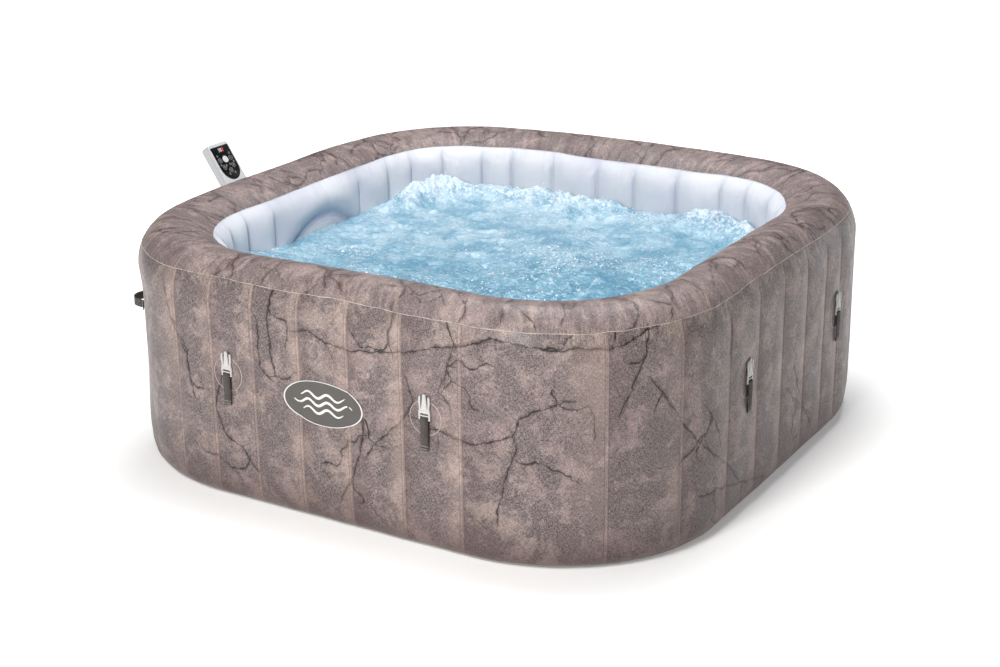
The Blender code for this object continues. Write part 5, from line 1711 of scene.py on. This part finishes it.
def build_hardware(finishes):
    fitting, casing, dark, rubber = (finishes[k] for k in ("fitting", "casing", "dark", "rubber"))
    make_buckles(finishes["buckle"])
    for kind in ("inlet", "air", "outlet"):
        make_spool(f"{kind}_coupling", 0.018, 0.022, 0.033, -0.2213, fitting)
        make_nut(f"coupling_nut_{kind}", dark)
    for kind, inner_end in (("drain", -0.2195), ("inflation", -0.030)):
        make_spool(f"{kind}_valve", 0.012, 0.016, 0.026, inner_end, fitting)
        make_cap(f"{kind}_cap", 0.018, fitting)
    make_filter(finishes["paper"], fitting)
    make_casing(casing, dark)
    make_cover(casing, dark)
    make_base(dark, rubber)
    make_stalk(dark)
    make_cord_gland(rubber)
    refine("pump_base", 0, dark)
    refine("chamber_webs", 0, finishes["plain_pvc"])
    for node in ("circulation_pump", "air_blower"):
        refine(node, 0.0008, finishes["motor"])
    for node in ("pump_impeller", "blower_wheel"):
        refine(node, 0.0003, finishes["wheel"], 2)
    refine("water_heater", 0.0006, finishes["steel"])
    refine("transfer_hose", 0, rubber)
    refine("control_board", 0.0002, finishes["board"], 2)
    make_head(finishes["head"], finishes["panel"], finishes["button"], finishes["key"], finishes["print_white"],
              finishes["red_light"], finishes["grey_print"])


def glowing(name, colour, strength):
    """A lit display segment behind a clear film."""
    s = Shader(name, Emission_Strength=strength, Roughness=0.3)
    tone = s.mix(s.between(s.noise(400.0, 2.0), 0.3, 0.8), colour, tuple(c * 0.75 for c in colour[:3]) + (1.0,))
    s.feed(s.surface.inputs["Emission Color"], tone)
    return s.finish(tone)


def make_finishes():
    return {
        "stone": stone_print("stone_print_wall"),
        "stone_top": stone_print("stone_print_rim", rim=True),
        "pvc": white_pvc(),
        "plain_pvc": moulded("web_pvc", srgb(238, 240, 246), 0.5, 500.0, 0.0001, 0.05),
        "ground": moulded("ground_pvc", srgb(92, 90, 92), 0.6, 260.0, 0.0003, 0.25),
        "weld": moulded("weld_pvc", srgb(178, 167, 157), 0.45, 160.0, 0.0005, 0.45),
        "foot": moulded("foot_pvc", srgb(150, 144, 130), 0.5, 160.0, 0.0005, 0.30),
        "badge": moulded("badge_ink", srgb(78, 74, 71), 0.46, 500.0, 0.0002, 0.15),
        "print_white": moulded("white_ink", srgb(214, 214, 212), 0.5, 600.0, 0.0001, 0.04),
        "grey_print": moulded("grey_ink", srgb(176, 176, 174), 0.5, 600.0, 0.0001, 0.05),
        "webbing": webbing_cloth(),
        "thread": thread(),
        "water": churned_water(),
        "bubbles": bubble_film(),
        "buckle": moulded("buckle_plastic", srgb(184, 183, 181), 0.36, 900.0, 0.00008, 0.06),
        "fitting": moulded("fitting_plastic", srgb(214, 213, 209), 0.40),
        "casing": moulded("casing_plastic", srgb(206, 202, 193), 0.44),
        "dark": moulded("dark_casing_plastic", srgb(74, 72, 72), 0.48),
        "rubber": moulded("black_rubber", srgb(34, 33, 33), 0.66, 420.0, 0.0002, 0.2),
        "head": moulded("head_plastic", srgb(190, 192, 195), 0.38, 800.0, 0.0001, 0.05),
        "panel": gloss("panel_film", srgb(13, 13, 18)),
        "button": gloss("button_plastic", srgb(206, 206, 203), 0.25),
        "key": gloss("key_film", srgb(52, 52, 54), 0.3),
        "red_light": glowing("red_light", srgb(226, 62, 48), 1.6),
        "motor": moulded("motor_plastic", srgb(58, 60, 64), 0.5),
        "wheel": moulded("wheel_plastic", srgb(188, 190, 190), 0.45),
        "steel": steel(),
        "board": moulded("board_epoxy", srgb(26, 84, 56), 0.4, 300.0, 0.0002, 0.2),
        "paper": moulded("filter_paper", srgb(226, 229, 232), 0.85, 320.0, 0.0004, 0.15),
    }


def steel():
    """Spun stainless steel, brushed round its axis, with heat-blued patches."""
    s = Shader("brushed_steel", Metallic=1.0, Anisotropic=0.4)
    lines = s.noise(1.0, 3.0, 0.6, s.stretched((4.0, 900.0, 900.0)))
    tint = s.mix(s.between(s.noise(9.0, 3.0), 0.5, 0.75, 0.0, 0.5), srgb(196, 196, 198), srgb(150, 158, 186))
    return s.finish(tint, s.between(lines, 0.3, 0.7, 0.22, 0.42), s.bump(lines, 0.0001, 0.5))


# ---- Studio ---------------------------------------------------------------------------------------

def make_floor(material):
    points = [(x, y, 0.0) for y in (-30.0, 60.0) for x in (-45.0, 45.0)]
    data = bpy.data.meshes.new("floor")
    data.from_pydata(points, [], [(0, 1, 3, 2)])
    data.materials.append(material)
    linked("floor", data)


def make_light(name, place, target, size, power, colour):
    data = bpy.data.lights.new(name, "AREA")
    data.shape = "RECTANGLE"
    data.size, data.size_y = size
    data.energy = power
    data.color = colour
    lamp = linked(name, data)
    lamp.location = place
    lamp.rotation_euler = (Vector(target) - Vector(place)).to_track_quat("-Z", "Y").to_euler()


def make_camera():
    data = bpy.data.cameras.new("camera")
    data.lens = LENS
    data.clip_end = 200.0
    camera = linked("camera", data)
    turn = (Matrix.Rotation(math.radians(CAMERA_AZIMUTH), 4, "Z")
            @ Matrix.Rotation(math.radians(90 - CAMERA_ELEVATION), 4, "X")
            @ Matrix.Rotation(math.radians(CAMERA_ROLL), 4, "Z"))
    camera.matrix_world = Matrix.Translation(CAMERA_PLACE) @ turn
    bpy.context.scene.camera = camera


def make_studio():
    make_floor(floor_paint())
    for light in LIGHTS:
        make_light(*light)
    world = bpy.data.worlds.new("studio")
    world.use_nodes = True
    backdrop = world.node_tree.nodes["Background"]
    backdrop.inputs["Color"].default_value = (1.0, 1.0, 1.0, 1.0)
    backdrop.inputs["Strength"].default_value = WORLD_STRENGTH
    bpy.context.scene.world = world
    bpy.context.scene.view_settings.view_transform = "Standard"


FINISHES = make_finishes()
build_tub(FINISHES)
build_hardware(FINISHES)
make_camera()
make_studio()
